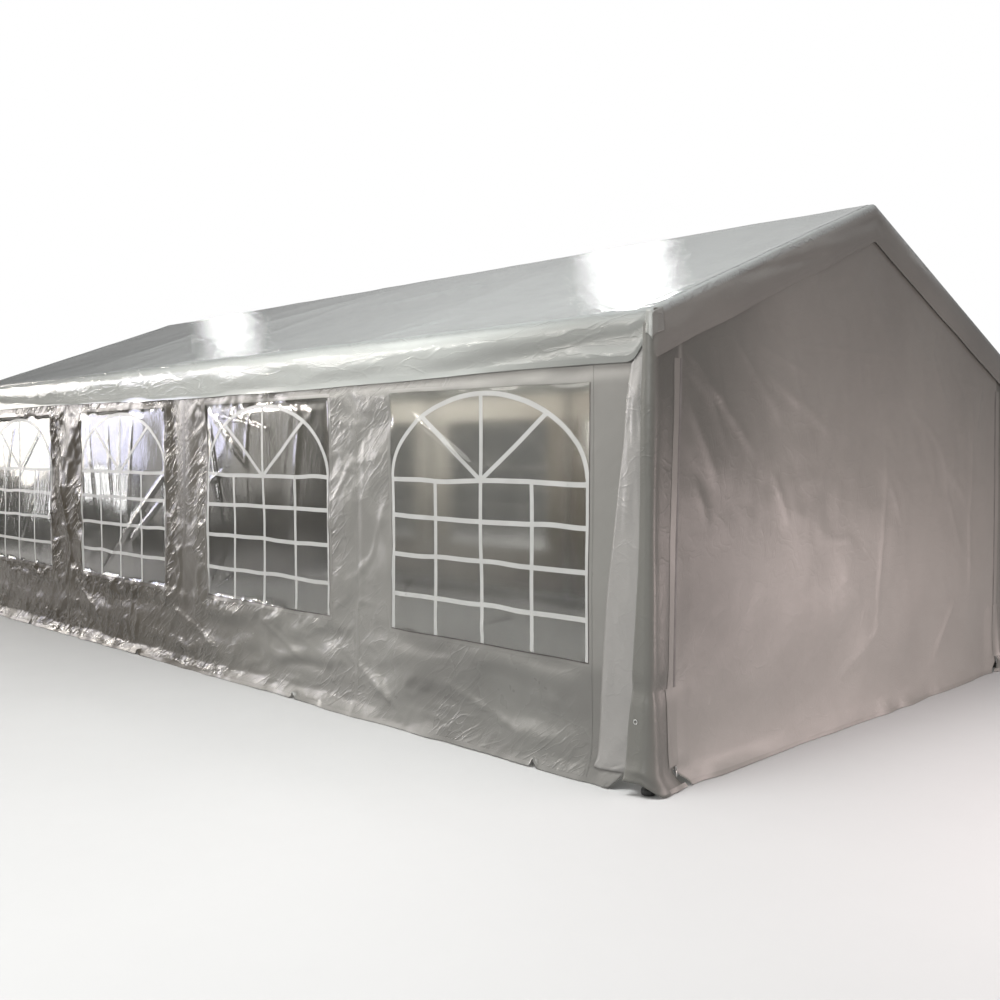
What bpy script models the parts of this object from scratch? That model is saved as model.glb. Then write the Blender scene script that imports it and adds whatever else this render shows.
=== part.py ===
"""Party marquee of four bays: a frame of round steel tube under a polyethylene roof cover,
two side walls with four arched windows each, and two gable walls that open along two zips."""

import math

import bmesh
import bpy
from mathutils import Vector

# Driving dimensions, in metres. X runs across the tent, Y along its ridge, Z up from the floor.
TENT_LENGTH = 8.0
TENT_WIDTH = 4.0
BAYS = 4
EAVE_AXIS_HEIGHT = 2.085
RIDGE_AXIS_HEIGHT = 2.835

# Steel tube and the welded fittings that its ends plug into
TUBE_RADIUS = 0.019
TUBE_WALL = 0.0015
TUBE_SIDES = 12
FITTING_RADIUS = 0.0215
SOCKET_CLEARANCE = 0.0005
ARM_LENGTH = 0.14
SOCKET_BOTTOM = 0.045
GROUND_BAR_HEIGHT = 0.10
GROUND_SLEEVE_LENGTH = 0.09

# Plastic foot under each leg
FOOT_RADIUS = 0.033
FOOT_HEIGHT = 0.045
FOOT_FLOOR = 0.010

# Polyethylene sheet
SHEET = 0.003
GAP = 0.0005
PANE_GAP = 0.0003
VALANCE_DROP = 0.213
VALANCE_STAND_OFF = 0.012
ROOF_TO_WALL = 0.002
SIDE_WALL_TOP = 2.06
HEM_CLEARANCE = 0.004
SKIRT_HEIGHT = 0.10
SKIRT_FLARE = 0.045
ZIP_TO_CORNER = 0.18
ZIP_SLIT = 0.035

# Windows
WINDOW_WIDTH = 1.40
WINDOW_SILL = 0.535
WINDOW_HEAD = 1.805
WINDOW_PITCH = 1.97
PANE = 0.002

# Places that follow from the sizes above
HALF_WIDTH = TENT_WIDTH / 2
HALF_LENGTH = TENT_LENGTH / 2
AXIS_INSET = SHEET + GAP + FITTING_RADIUS
LEG_X = HALF_WIDTH - AXIS_INSET
END_LEG_Y = HALF_LENGTH - AXIS_INSET
BAY = 2 * END_LEG_Y / BAYS
FRAME_YS = [-END_LEG_Y + BAY * number for number in range(BAYS + 1)]
PITCH = math.atan2(RIDGE_AXIS_HEIGHT - EAVE_AXIS_HEIGHT, LEG_X)
SIDES = {"left": -1, "right": 1}
ENDS = {"front": -1, "back": 1}

MERGE_DISTANCE = 1e-6

# Finishes: colour as linear red, green, blue and alpha, then roughness and metallic value
FINISHES = {
    "cover_sheet": ((0.42, 0.42, 0.40, 1.0), 0.35, 0.0),
    "clear_sheet": ((0.80, 0.82, 0.83, 0.35), 0.08, 0.0),
    "frame_paint": ((0.55, 0.56, 0.57, 1.0), 0.40, 0.6),
    "foot_plastic": ((0.02, 0.02, 0.018, 1.0), 0.55, 0.0),
}


def clear_scene():
    for thing in list(bpy.data.objects):
        bpy.data.objects.remove(thing)


def make_finish(name):
    colour, roughness, metallic = FINISHES[name]
    finish = bpy.data.materials.new(name)
    finish.use_nodes = True
    shader = finish.node_tree.nodes["Principled BSDF"]
    shader.inputs["Base Color"].default_value = colour
    shader.inputs["Alpha"].default_value = colour[3]
    shader.inputs["Roughness"].default_value = roughness
    shader.inputs["Metallic"].default_value = metallic
    return finish


def add_object(name, solid, finish=None):
    """A named object made from a bmesh, which is freed."""
    bmesh.ops.recalc_face_normals(solid, faces=solid.faces)
    mesh = bpy.data.meshes.new(name)
    solid.to_mesh(mesh)
    solid.free()
    thing = bpy.data.objects.new(name, mesh)
    bpy.context.scene.collection.objects.link(thing)
    if finish:
        mesh.materials.append(finish)
    return thing


def smooth(thing, degrees=40):
    thing.data.shade_smooth()
    thing.data.set_sharp_from_angle(angle=math.radians(degrees))


def turned(profile, closed):
    """A bmesh spun about Z from a profile of (radius, height) points; a closed profile makes a tube."""
    solid = bmesh.new()
    points = [solid.verts.new((radius, 0, height)) for radius, height in profile]
    edges = [solid.edges.new(pair) for pair in zip(points, points[1:])]
    if closed:
        edges.append(solid.edges.new((points[-1], points[0])))
    bmesh.ops.spin(solid, geom=points + edges, cent=(0, 0, 0), axis=(0, 0, 1),
                   angle=math.tau, steps=TUBE_SIDES, use_merge=True)
    bmesh.ops.remove_doubles(solid, verts=solid.verts, dist=MERGE_DISTANCE)
    return solid


def aim(thing, start, end):
    """Stands a solid that was made along Z between two points."""
    thing.location = start
    thing.rotation_euler = (end - start).to_track_quat("Z", "Y").to_euler()


def add_rod(name, start, end, radius, finish=None):
    """A solid round bar between two points."""
    start, end = Vector(start), Vector(end)
    length = (end - start).length
    rod = add_object(name, turned([(0, 0), (radius, 0), (radius, length), (0, length)], False), finish)
    aim(rod, start, end)
    return rod


def add_tube(name, start, end, finish):
    """A length of frame tube between two points, hollow from end to end."""
    start, end = Vector(start), Vector(end)
    length = (end - start).length
    bore = TUBE_RADIUS - TUBE_WALL
    profile = [(bore, 0), (TUBE_RADIUS, 0), (TUBE_RADIUS, length), (bore, length)]
    tube = add_object(name, turned(profile, True), finish)
    aim(tube, start, end)
    smooth(tube)
    return tube


def combine(thing, tool, operation):
    """Applies a Boolean of thing with tool and removes the tool."""
    modifier = thing.modifiers.new("combine", "BOOLEAN")
    modifier.operation = operation
    modifier.object = tool
    bpy.context.view_layer.update()
    graph = bpy.context.evaluated_depsgraph_get()
    result = bmesh.new()
    result.from_object(thing, graph)
    bmesh.ops.triangulate(result, faces=result.faces)
    bmesh.ops.dissolve_degenerate(result, edges=result.edges, dist=MERGE_DISTANCE)
    thing.modifiers.remove(modifier)
    result.to_mesh(thing.data)
    result.free()
    bpy.data.objects.remove(tool)


def slope(side):
    """Unit vector up the roof from the eave on that side."""
    return Vector((-side * math.cos(PITCH), 0, math.sin(PITCH)))


def eave_node(side, y):
    return Vector((side * LEG_X, y, EAVE_AXIS_HEIGHT))


def ridge_node(y):
    return Vector((0, y, RIDGE_AXIS_HEIGHT))


def add_sockets(rail, node, directions):
    """Adds one welded arm for each direction at a node of a rail, then bores each arm for its tube."""
    for direction in directions:
        arm = add_rod("arm", node, node + direction * ARM_LENGTH, FITTING_RADIUS)
        combine(rail, arm, "UNION")
    for direction in directions:
        past_end = node + direction * (ARM_LENGTH + TUBE_RADIUS)
        bore = add_rod("bore", node + direction * SOCKET_BOTTOM, past_end, TUBE_RADIUS + SOCKET_CLEARANCE)
        combine(rail, bore, "DIFFERENCE")


def add_rail(name, node_at, directions, finish):
    """A rail of tubes along Y with a fitting at each frame: collars on the rail and arms off it."""
    rail = add_rod(name, node_at(-END_LEG_Y), node_at(END_LEG_Y), TUBE_RADIUS, finish)
    for y in FRAME_YS:
        collar_start = max(y - ARM_LENGTH, -END_LEG_Y - FITTING_RADIUS)
        collar_end = min(y + ARM_LENGTH, END_LEG_Y + FITTING_RADIUS)
        collar = add_rod("collar", node_at(collar_start), node_at(collar_end), FITTING_RADIUS)
        combine(rail, collar, "UNION")
        add_sockets(rail, node_at(y), directions)
    smooth(rail)
    return rail


def add_frame(paint, plastic):
    """Legs on feet, eave rails, ridge rail and rafters."""
    down = Vector((0, 0, -1))
    for side_name, side in SIDES.items():
        add_rail(f"eave_rail_{side_name}", lambda y, side=side: eave_node(side, y), [down, slope(side)], paint)
        add_ground_rail(f"ground_rail_{side_name}", side, paint)
        for number, y in enumerate(FRAME_YS, 1):
            leg_top = eave_node(side, y) + down * (SOCKET_BOTTOM + GAP)
            leg_foot = Vector((side * LEG_X, y, FOOT_FLOOR + GAP))
            add_tube(f"leg_{side_name}_{number}", leg_foot, leg_top, paint)
            add_foot(f"foot_{side_name}_{number}", side * LEG_X, y, plastic)
            rafter_start = eave_node(side, y) + slope(side) * (SOCKET_BOTTOM + GAP)
            rafter_end = ridge_node(y) - slope(side) * (SOCKET_BOTTOM + GAP)
            add_tube(f"rafter_{side_name}_{number}", rafter_start, rafter_end, paint)
    add_rail("ridge_rail", ridge_node, [-slope(-1), -slope(1)], paint)


def add_ground_rail(name, side, finish):
    """A bar just above the floor along one side, with a sleeve that each leg passes through."""
    x = side * LEG_X
    rail = add_rod(name, (x, -END_LEG_Y, GROUND_BAR_HEIGHT), (x, END_LEG_Y, GROUND_BAR_HEIGHT),
                   TUBE_RADIUS, finish)
    low = GROUND_BAR_HEIGHT - GROUND_SLEEVE_LENGTH / 2
    high = GROUND_BAR_HEIGHT + GROUND_SLEEVE_LENGTH / 2
    for y in FRAME_YS:
        combine(rail, add_rod("sleeve", (x, y, low), (x, y, high), FITTING_RADIUS), "UNION")
    for y in FRAME_YS:
        bore = add_rod("bore", (x, y, low - TUBE_RADIUS), (x, y, high + TUBE_RADIUS),
                       TUBE_RADIUS + SOCKET_CLEARANCE)
        combine(rail, bore, "DIFFERENCE")
    smooth(rail)


def add_foot(name, x, y, finish):
    """A round plastic cup with a rounded tread that the leg stands in."""
    cup = TUBE_RADIUS + SOCKET_CLEARANCE
    profile = [
        (0, 0),
        (FOOT_RADIUS * 0.78, 0),
        (FOOT_RADIUS * 0.94, 0.003),
        (FOOT_RADIUS, 0.010),
        (FOOT_RADIUS * 0.97, 0.024),
        (FOOT_RADIUS * 0.74, 0.032),
        (cup + 0.0025, FOOT_HEIGHT),
        (cup, FOOT_HEIGHT),
        (cup, FOOT_FLOOR),
        (0, FOOT_FLOOR),
    ]
    foot = add_object(name, turned(profile, False), finish)
    foot.location = (x, y, 0)
    smooth(foot)


def roof_height(x, lift):
    """Height of a plane that lies lift above the axes of the rafters, at a distance x from the ridge."""
    return EAVE_AXIS_HEIGHT + (LEG_X - abs(x)) * math.tan(PITCH) + lift / math.cos(PITCH)


def prism(outline, half_length):
    """A bmesh of an outline in X and Z, extruded along Y both ways from the middle."""
    solid = bmesh.new()
    face = solid.faces.new([solid.verts.new((x, -half_length, z)) for x, z in outline])
    grown = bmesh.ops.extrude_face_region(solid, geom=[face])
    moved = [piece for piece in grown["geom"] if isinstance(piece, bmesh.types.BMVert)]
    bmesh.ops.translate(solid, vec=(0, 2 * half_length, 0), verts=moved)
    return solid


def add_roof_cover(finish):
    """One sheet over both slopes, with a valance down every edge."""
    under = FITTING_RADIUS + GAP
    outer_x = HALF_WIDTH + VALANCE_STAND_OFF
    inner_x = outer_x - SHEET
    eave = roof_height(outer_x, under + SHEET)
    ridge = roof_height(0, under + SHEET)
    valance = eave - VALANCE_DROP
    outer = [
        (-outer_x, valance),
        (-outer_x, eave),
        (0, ridge),
        (outer_x, eave),
        (outer_x, valance),
        (0, ridge - VALANCE_DROP),
    ]
    inner = [
        (-inner_x, valance - SHEET),
        (-inner_x, roof_height(inner_x, under)),
        (0, roof_height(0, under)),
        (inner_x, roof_height(inner_x, under)),
        (inner_x, valance - SHEET),
    ]
    half = HALF_LENGTH + VALANCE_STAND_OFF
    cover = add_object("roof_cover", prism(outer, half), finish)
    hollow = add_object("hollow", prism(inner, half - SHEET))
    combine(cover, hollow, "DIFFERENCE")


def flare(height):
    """How far a wall's skirt stands out from its plane at that height."""
    return SKIRT_FLARE * max(0.0, SKIRT_HEIGHT - height) / (SKIRT_HEIGHT - HEM_CLEARANCE)


def thicken(wall):
    """Gives a wall its sheet thickness, inwards from its outer face."""
    solidify = wall.modifiers.new("sheet", "SOLIDIFY")
    solidify.thickness = SHEET
    solidify.offset = -1
    solidify.use_even_offset = True


def outward_faces(sheet, direction):
    """Turns every face of an open sheet to look along direction."""
    sheet.normal_update()
    for face in sheet.faces:
        if face.normal.dot(direction) < 0:
            face.normal_flip()


def add_open_sheet(name, sheet, direction, finish):
    outward_faces(sheet, direction)
    mesh = bpy.data.meshes.new(name)
    sheet.to_mesh(mesh)
    sheet.free()
    mesh.materials.append(finish)
    wall = bpy.data.objects.new(name, mesh)
    bpy.context.scene.collection.objects.link(wall)
    thicken(wall)
    return wall


def window_centres():
    return [WINDOW_PITCH * (number - (BAYS - 1) / 2) for number in range(BAYS)]


def add_side_wall(name, side, finish):
    """A long wall with four window openings and a skirt that flares out over the ground."""
    half = END_LEG_Y + FITTING_RADIUS
    jambs = [centre + edge * WINDOW_WIDTH / 2 for centre in window_centres() for edge in (-1, 1)]
    columns = [-half, *jambs, half]
    rows = [HEM_CLEARANCE, SKIRT_HEIGHT, WINDOW_SILL, WINDOW_HEAD, SIDE_WALL_TOP]
    sheet = bmesh.new()
    grid = [[sheet.verts.new((side * (HALF_WIDTH + flare(z)), y, z)) for z in rows] for y in columns]
    for column in range(len(columns) - 1):
        for row in range(len(rows) - 1):
            is_window = column % 2 == 1 and rows[row] == WINDOW_SILL
            if not is_window:
                near, far = grid[column], grid[column + 1]
                sheet.faces.new((near[row], far[row], far[row + 1], near[row + 1]))
    add_open_sheet(name, sheet, Vector((side, 0, 0)), finish)


def add_window(name, side, centre, finish):
    """A pane of clear sheet that fills its opening."""
    outer_x = HALF_WIDTH - (SHEET - PANE) / 2
    pane = bmesh.new()
    bmesh.ops.create_cube(pane, size=1)
    size = (PANE, WINDOW_WIDTH - 2 * PANE_GAP, WINDOW_HEAD - WINDOW_SILL - 2 * PANE_GAP)
    bmesh.ops.scale(pane, vec=size, verts=pane.verts)
    window = add_object(name, pane, finish)
    window.location = (side * (outer_x - PANE / 2), centre, (WINDOW_SILL + WINDOW_HEAD) / 2)


def add_gable_wall(name, end, finish):
    """A pentagonal end wall whose skirt is slit where its two zips reach the ground."""
    top_lift = FITTING_RADIUS - ROOF_TO_WALL
    zip_x = HALF_WIDTH - ZIP_TO_CORNER
    slit = ZIP_SLIT / 2
    crease_xs = [-HALF_WIDTH, -zip_x, zip_x, HALF_WIDTH]
    hem_spans = [(-HALF_WIDTH, -zip_x - slit), (-zip_x + slit, zip_x - slit), (zip_x + slit, HALF_WIDTH)]
    sheet = bmesh.new()

    def corner(x, z):
        return sheet.verts.new((x, end * (HALF_LENGTH + flare(z)), z))

    crease = [corner(x, SKIRT_HEIGHT) for x in crease_xs]
    shoulder = roof_height(HALF_WIDTH, top_lift)
    top = [corner(HALF_WIDTH, shoulder), corner(0, roof_height(0, top_lift)), corner(-HALF_WIDTH, shoulder)]
    sheet.faces.new(crease + top)
    for number, (start, stop) in enumerate(hem_spans):
        hem = [corner(start, HEM_CLEARANCE), corner(stop, HEM_CLEARANCE)]
        sheet.faces.new(hem + [crease[number + 1], crease[number]])
    add_open_sheet(name, sheet, Vector((0, end, 0)), finish)


def build():
    clear_scene()
    finishes = {name: make_finish(name) for name in FINISHES}
    add_frame(finishes["frame_paint"], finishes["foot_plastic"])
    add_roof_cover(finishes["cover_sheet"])
    for side_name, side in SIDES.items():
        add_side_wall(f"side_wall_{side_name}", side, finishes["cover_sheet"])
        for number, centre in enumerate(window_centres(), 1):
            add_window(f"window_{side_name}_{number}", side, centre, finishes["clear_sheet"])
    for end_name, end in ENDS.items():
        add_gable_wall(f"gable_wall_{end_name}", end, finishes["cover_sheet"])


build()
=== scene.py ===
"""Looks of a closed party marquee: glossy creased sheets, clear windows, zips and a steel frame."""

import math

import bmesh
import bpy
import numpy as np
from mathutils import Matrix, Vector


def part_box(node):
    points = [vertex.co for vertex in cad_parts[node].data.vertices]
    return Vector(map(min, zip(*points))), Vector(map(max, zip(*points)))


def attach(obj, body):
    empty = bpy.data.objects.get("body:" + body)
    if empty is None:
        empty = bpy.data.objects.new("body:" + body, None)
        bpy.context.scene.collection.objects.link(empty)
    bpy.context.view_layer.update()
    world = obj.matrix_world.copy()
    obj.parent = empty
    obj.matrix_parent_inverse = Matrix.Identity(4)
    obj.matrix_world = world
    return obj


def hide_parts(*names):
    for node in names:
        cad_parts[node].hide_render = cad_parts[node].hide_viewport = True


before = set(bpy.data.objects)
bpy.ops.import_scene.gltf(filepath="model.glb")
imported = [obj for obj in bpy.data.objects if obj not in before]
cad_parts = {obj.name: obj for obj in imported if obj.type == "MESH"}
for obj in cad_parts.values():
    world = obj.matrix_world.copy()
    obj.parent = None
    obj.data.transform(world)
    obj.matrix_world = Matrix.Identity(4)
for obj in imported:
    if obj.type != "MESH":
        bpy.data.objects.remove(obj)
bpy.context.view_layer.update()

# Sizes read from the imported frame, in metres
ROOF_LOW, ROOF_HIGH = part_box("roof_cover")
SIDE_LOW, SIDE_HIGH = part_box("side_wall_left")
GABLE_LOW, GABLE_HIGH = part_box("gable_wall_front")
LEG_LOW, LEG_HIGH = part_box("leg_left_1")
WINDOW_BOXES = [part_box(f"window_left_{n}") for n in range(1, 5)]

VALANCE_DROP = 0.213
EAVE_X, END_Y, RIDGE_Z = ROOF_HIGH
EAVE_Z = ROOF_LOW.z + VALANCE_DROP
SLOPE = (RIDGE_Z - EAVE_Z) / EAVE_X
PITCH = math.atan(SLOPE)

LEG_X = -(LEG_LOW.x + LEG_HIGH.x) / 2
LEG_Y = -(LEG_LOW.y + LEG_HIGH.y) / 2
BAYS = len(WINDOW_BOXES)
BAY = 2 * LEG_Y / BAYS
WALL_X = GABLE_HIGH.x
SKIRT_FLARE = -SIDE_LOW.x - WALL_X
WALL_Y = -GABLE_LOW.y - SKIRT_FLARE
WALL_TOP = SIDE_HIGH.z
SKIRT_HEIGHT = 0.10
HEM_Z = 0.004
SKIRT_FLAT = math.hypot(SKIRT_HEIGHT - HEM_Z, SKIRT_FLARE)
SILL, HEAD = WINDOW_BOXES[0][0].z, WINDOW_BOXES[0][1].z

# Thickness of the woven cover and of the clear film
CLOTH = 0.0015
FILM = 0.0008

# Fineness of each sheet's grid
ROOF_STEP = 0.036
SIDE_STEP = 0.0155
GABLE_STEP = 0.020
FILM_STEP = 0.0135

# Rounding of the roof cover over the ridge rail, the eave rails and the end rafters
RIDGE_ROUND = 0.030
EAVE_ROUND = 0.025
RAKE_ROUND = 0.025
CORNER_ROUND = 0.030

RIDGE_ARC = RIDGE_ROUND * PITCH
EAVE_ARC = EAVE_ROUND * (math.pi / 2 - PITCH)
SLOPE_RUN = EAVE_X - RIDGE_ROUND * math.sin(PITCH) - EAVE_ROUND * (1 - math.sin(PITCH))
SLOPE_LENGTH = SLOPE_RUN / math.cos(PITCH)
EAVE_FLAT = RIDGE_ARC + SLOPE_LENGTH + EAVE_ARC
ROOF_TOP = RIDGE_Z - SLOPE * RIDGE_ROUND * math.sin(PITCH) + RIDGE_ROUND * (1 - math.cos(PITCH))
RAKE_START = END_Y - RAKE_ROUND
RAKE_ARC = RAKE_ROUND * math.pi / 2
RAKE_FLAT = RAKE_START + RAKE_ARC
SIDE_HANG = VALANCE_DROP - EAVE_ROUND * math.cos(PITCH) + 0.002
GABLE_HANG = VALANCE_DROP - RAKE_ROUND

# Zips, from the middle of the gable, and how far the gable sheet reaches round the corner leg
ZIP_TOP_X, ZIP_LOW_X = 1.80, 1.842
WRAP_ROUND = 0.037
WRAP_ARC = WRAP_ROUND * math.pi / 2
WRAP_REACH = 0.075
GABLE_FLAT = LEG_X + WRAP_ARC + WRAP_REACH

SEAM_YS = (-1.93, 0.02, 1.97)
NOTCH_YS = (-3.35, -1.35, 0.65, 2.65)


def ramp(low, high, value):
    """Smooth step from 0 at low to 1 at high."""
    t = np.clip((value - low) / (high - low), 0, 1)
    return t * t * (3 - 2 * t)


def lines(step, *stops):
    """Grid lines about one step apart that run through every stop."""
    parts = []
    for start, end in zip(stops[:-1], stops[1:]):
        count = max(1, math.ceil((end - start) / step))
        parts.append(np.linspace(start, end, count, endpoint=False))
    return np.append(np.concatenate(parts), stops[-1])


def chance(i, j, seed):
    """A fixed number from 0 to 1 for each pair of whole numbers."""
    n = (i * 374761393 + j * 668265263 + seed * 974634777) & 0xFFFFFFFF
    n = ((n ^ (n >> 13)) * 1274126177) & 0xFFFFFFFF
    return (n ^ (n >> 16)) / 0xFFFFFFFF


def swell(a, b, size, seed):
    """Soft hills of the given size, from -1 to 1."""
    p, q = a / size, b / size
    i, j = np.floor(p).astype(np.int64), np.floor(q).astype(np.int64)
    p, q = p - i, q - j
    p, q = p * p * (3 - 2 * p), q * q * (3 - 2 * q)
    low = chance(i, j, seed) * (1 - p) + chance(i + 1, j, seed) * p
    high = chance(i, j + 1, seed) * (1 - p) + chance(i + 1, j + 1, seed) * p
    return 2 * (low * (1 - q) + high * q) - 1


def facets(a, b, size, seed):
    """Flat-sided crumples with sharp edges, from -1 to 1."""
    a = a + 0.45 * size * swell(a, b, 1.7 * size, seed + 50)
    b = b + 0.45 * size * swell(a, b, 1.7 * size, seed + 51)
    p, q = (a + 0.577 * b) / size, 1.155 * b / size
    i, j = np.floor(p).astype(np.int64), np.floor(q).astype(np.int64)
    p, q = p - i, q - j
    near, far = chance(i, j, seed), chance(i + 1, j + 1, seed)
    right, left = chance(i + 1, j, seed), chance(i, j + 1, seed)
    height = np.where(
        p > q,
        near * (1 - p) + right * (p - q) + far * q,
        near * (1 - q) + left * (q - p) + far * p,
    )
    return 2 * height - 1


def fold(a, b, start, end, width, height):
    """A ridge from start to end that dies out at both ends, with one side steeper."""
    run = (end[0] - start[0], end[1] - start[1])
    length = math.hypot(*run)
    t = ((a - start[0]) * run[0] + (b - start[1]) * run[1]) / length**2
    aside = ((b - start[1]) * run[0] - (a - start[0]) * run[1]) / length
    fade = ramp(-0.02, 0.25, t) * ramp(1.02, 0.7, t)
    steepness = np.where(aside > 0, width, 0.45 * width)
    return height * fade * np.exp(-np.abs(aside) / steepness)


def creases(a, b, size, width, seed):
    """Thin sharp ridges that wander and fade, from 0 to 1, about one size apart."""
    drift = 0.4 * size * swell(a, b, 0.6 * size, seed + 60)
    level = swell(a + drift, b - drift, size, seed)
    strength = ramp(-0.3, 0.6, swell(a, b, 1.3 * size, seed + 61))
    return strength * np.clip(1 - np.abs(level) * size / (2.4 * width), 0, 1)


class Sheet:
    """A cloth on a grid. across and up are distances on the flat cloth, in metres."""

    def __init__(self, across, up, points, outward):
        self.across, self.up, self.points, self.outward = across, up, points, outward
        normals = np.cross(np.gradient(points, axis=0), np.gradient(points, axis=1))
        normals *= outward / np.maximum(np.linalg.norm(normals, axis=2, keepdims=True), 1e-12)
        self.normals = normals

    def at(self, a, u, lift=0.0):
        """Places on the cloth, lifted off its outer face."""
        a, u = np.asarray(a, float), np.asarray(u, float)
        i = np.clip(np.searchsorted(self.across, a, side="right") - 1, 0, len(self.across) - 2)
        j = np.clip(np.searchsorted(self.up, u, side="right") - 1, 0, len(self.up) - 2)
        p = (a - self.across[i]) / (self.across[i + 1] - self.across[i])
        q = (u - self.up[j]) / (self.up[j + 1] - self.up[j])
        p, q = np.clip(p, -1, 2)[..., None], np.clip(q, -1, 2)[..., None]

        def blend(grid):
            low = grid[i, j] * (1 - p) + grid[i + 1, j] * p
            high = grid[i, j + 1] * (1 - p) + grid[i + 1, j + 1] * p
            return low * (1 - q) + high * q

        return blend(self.points) + lift * blend(self.normals)


# Making objects
def new_object(name, vertices, faces, material):
    """A smooth mesh object at the origin that moves with the tent."""
    mesh = bpy.data.meshes.new(name)
    mesh.from_pydata(vertices.tolist(), [], faces)
    mesh.materials.append(material)
    mesh.polygons.foreach_set("use_smooth", [True] * len(mesh.polygons))
    mesh.update()
    piece = bpy.data.objects.new(name, mesh)
    bpy.context.scene.collection.objects.link(piece)
    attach(piece, "root")
    return piece


def select_only(piece):
    bpy.ops.object.select_all(action="DESELECT")
    piece.select_set(True)
    bpy.context.view_layer.objects.active = piece


def thicken(piece, thickness):
    """Gives a sheet its thickness on the inner side."""
    select_only(piece)
    modifier = piece.modifiers.new("thickness", "SOLIDIFY")
    modifier.thickness = thickness
    modifier.offset = -1
    modifier.use_rim = True
    bpy.ops.object.modifier_apply(modifier=modifier.name)


def paint_light_and_shade(piece, painted_light_and_shade):
    """Paints light and shade into each point of a cloth: the offset is added to a share of 1 of its colour, making it
    paler or darker.
    """
    layer = piece.data.attributes.new("painted_light_and_shade", "FLOAT_VECTOR", "POINT")
    layer.data.foreach_set("vector", np.ascontiguousarray(painted_light_and_shade, dtype=np.float32).ravel())


def cloth(name, sheet, material, keep=None, crumple=None, painted_light_and_shade=None, thickness=CLOTH):
    """An object from the kept cells of a sheet, with its flat metres as UVs.

    crumple says how strongly small creases show, and the colour offset paints light and shade into the cloth, making
    it paler or darker.
    """
    columns, rows = len(sheet.across), len(sheet.up)
    number = np.arange(columns * rows).reshape(columns, rows)
    quads = np.stack([number[:-1, :-1], number[1:, :-1], number[1:, 1:], number[:-1, 1:]], axis=-1)
    quads = quads[keep] if keep is not None else quads.reshape(-1, 4)
    if sheet.outward < 0:
        quads = quads[:, ::-1]
    used, quads = np.unique(quads, return_inverse=True)
    quads = quads.reshape(-1, 4)
    piece = new_object(name, sheet.points.reshape(-1, 3)[used], quads.tolist(), material)

    flat = np.stack(np.meshgrid(sheet.across, sheet.up, indexing="ij"), axis=-1).reshape(-1, 2)[used]
    uv = piece.data.uv_layers.new(name="flat")
    uv.data.foreach_set("uv", flat[quads.ravel()].ravel())
    if crumple is not None:
        layer = piece.data.attributes.new("crumple", "FLOAT", "POINT")
        layer.data.foreach_set("value", np.ascontiguousarray(crumple).reshape(-1)[used])
    if painted_light_and_shade is not None:
        paint_light_and_shade(piece, painted_light_and_shade.reshape(-1, 3)[used])
    thicken(piece, thickness)
    return piece


def flat_area(sheet, keep=None):
    """Area of the kept cells before the cloth was hung."""
    cells = np.diff(sheet.across)[:, None] * np.diff(sheet.up)[None, :]
    return float(cells[keep].sum() if keep is not None else cells.sum())


def walk(points, step=0.012):
    """Points about one step apart along a line of corners."""
    points = np.asarray(points, float)
    parts = []
    for start, end in zip(points[:-1], points[1:]):
        count = max(1, math.ceil(np.linalg.norm(end - start) / step))
        parts.append(start + (end - start) * np.linspace(0, 1, count, endpoint=False)[:, None])
    return np.vstack(parts + [points[-1:]])


def band(sheet, path, width, lift, thickness, columns=3):
    """Corners and faces of a closed strip that lies on a sheet along a path."""
    path = np.asarray(path, float)
    step = np.gradient(path, axis=0)
    step /= np.linalg.norm(step, axis=1, keepdims=True)
    aside = np.stack([-step[:, 1], step[:, 0]], axis=1)
    reach = np.linspace(-0.5, 0.5, columns)[None, :, None] * np.reshape(width, (-1, 1, 1))
    flat = path[:, None, :] + aside[:, None, :] * reach
    top = sheet.at(flat[..., 0], flat[..., 1], lift + thickness)
    under = sheet.at(flat[..., 0], flat[..., 1], lift)
    ring = np.concatenate([top, under[:, ::-1]], axis=1)
    count, around = ring.shape[:2]
    faces = []
    for row in range(count - 1):
        for k in range(around):
            following = (k + 1) % around
            faces.append((row * around + k, row * around + following,
                          (row + 1) * around + following, (row + 1) * around + k))
    last = (count - 1) * around
    for k in range(columns - 1):
        faces.append((k, around - 1 - k, around - 2 - k, k + 1))
        faces.append((last + k, last + k + 1, last + around - 2 - k, last + around - 1 - k))
    return ring.reshape(-1, 3), faces


def bands(name, parts, material, painted_light_and_shade=None):
    """One object from several strips, with every face pointing out."""
    vertices, faces, start = [], [], 0
    for corners, sides in parts:
        vertices.append(corners)
        faces += [tuple(start + k for k in side) for side in sides]
        start += len(corners)
    piece = new_object(name, np.vstack(vertices), faces, material)
    mesh = bmesh.new()
    mesh.from_mesh(piece.data)
    bmesh.ops.recalc_face_normals(mesh, faces=mesh.faces)
    for edge in mesh.edges:
        edge.smooth = edge.calc_face_angle(0) < 0.7
    mesh.to_mesh(piece.data)
    mesh.free()
    # The strips can carry painted light and shade, as a colour offset from the given function.
    if painted_light_and_shade is not None:
        paint_light_and_shade(piece, painted_light_and_shade(np.vstack(vertices)))
    return piece


# Shader node helpers
def node_tree(name):
    material = bpy.data.materials.new(name)
    material.use_nodes = True
    nodes, links = material.node_tree.nodes, material.node_tree.links
    shader = nodes["Principled BSDF"]
    return material, nodes, links, shader


def node(nodes, kind, **settings):
    made = nodes.new(kind)
    for key, value in settings.items():
        if key in made.inputs:
            made.inputs[key].default_value = value
        else:
            setattr(made, key, value)
    return made


def maths(nodes, links, operation, first, second):
    made = nodes.new("ShaderNodeMath")
    made.operation = operation
    for socket, value in zip(made.inputs, (first, second)):
        if isinstance(value, (int, float)):
            socket.default_value = value
        else:
            links.new(value, socket)
    return made.outputs[0]


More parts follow.
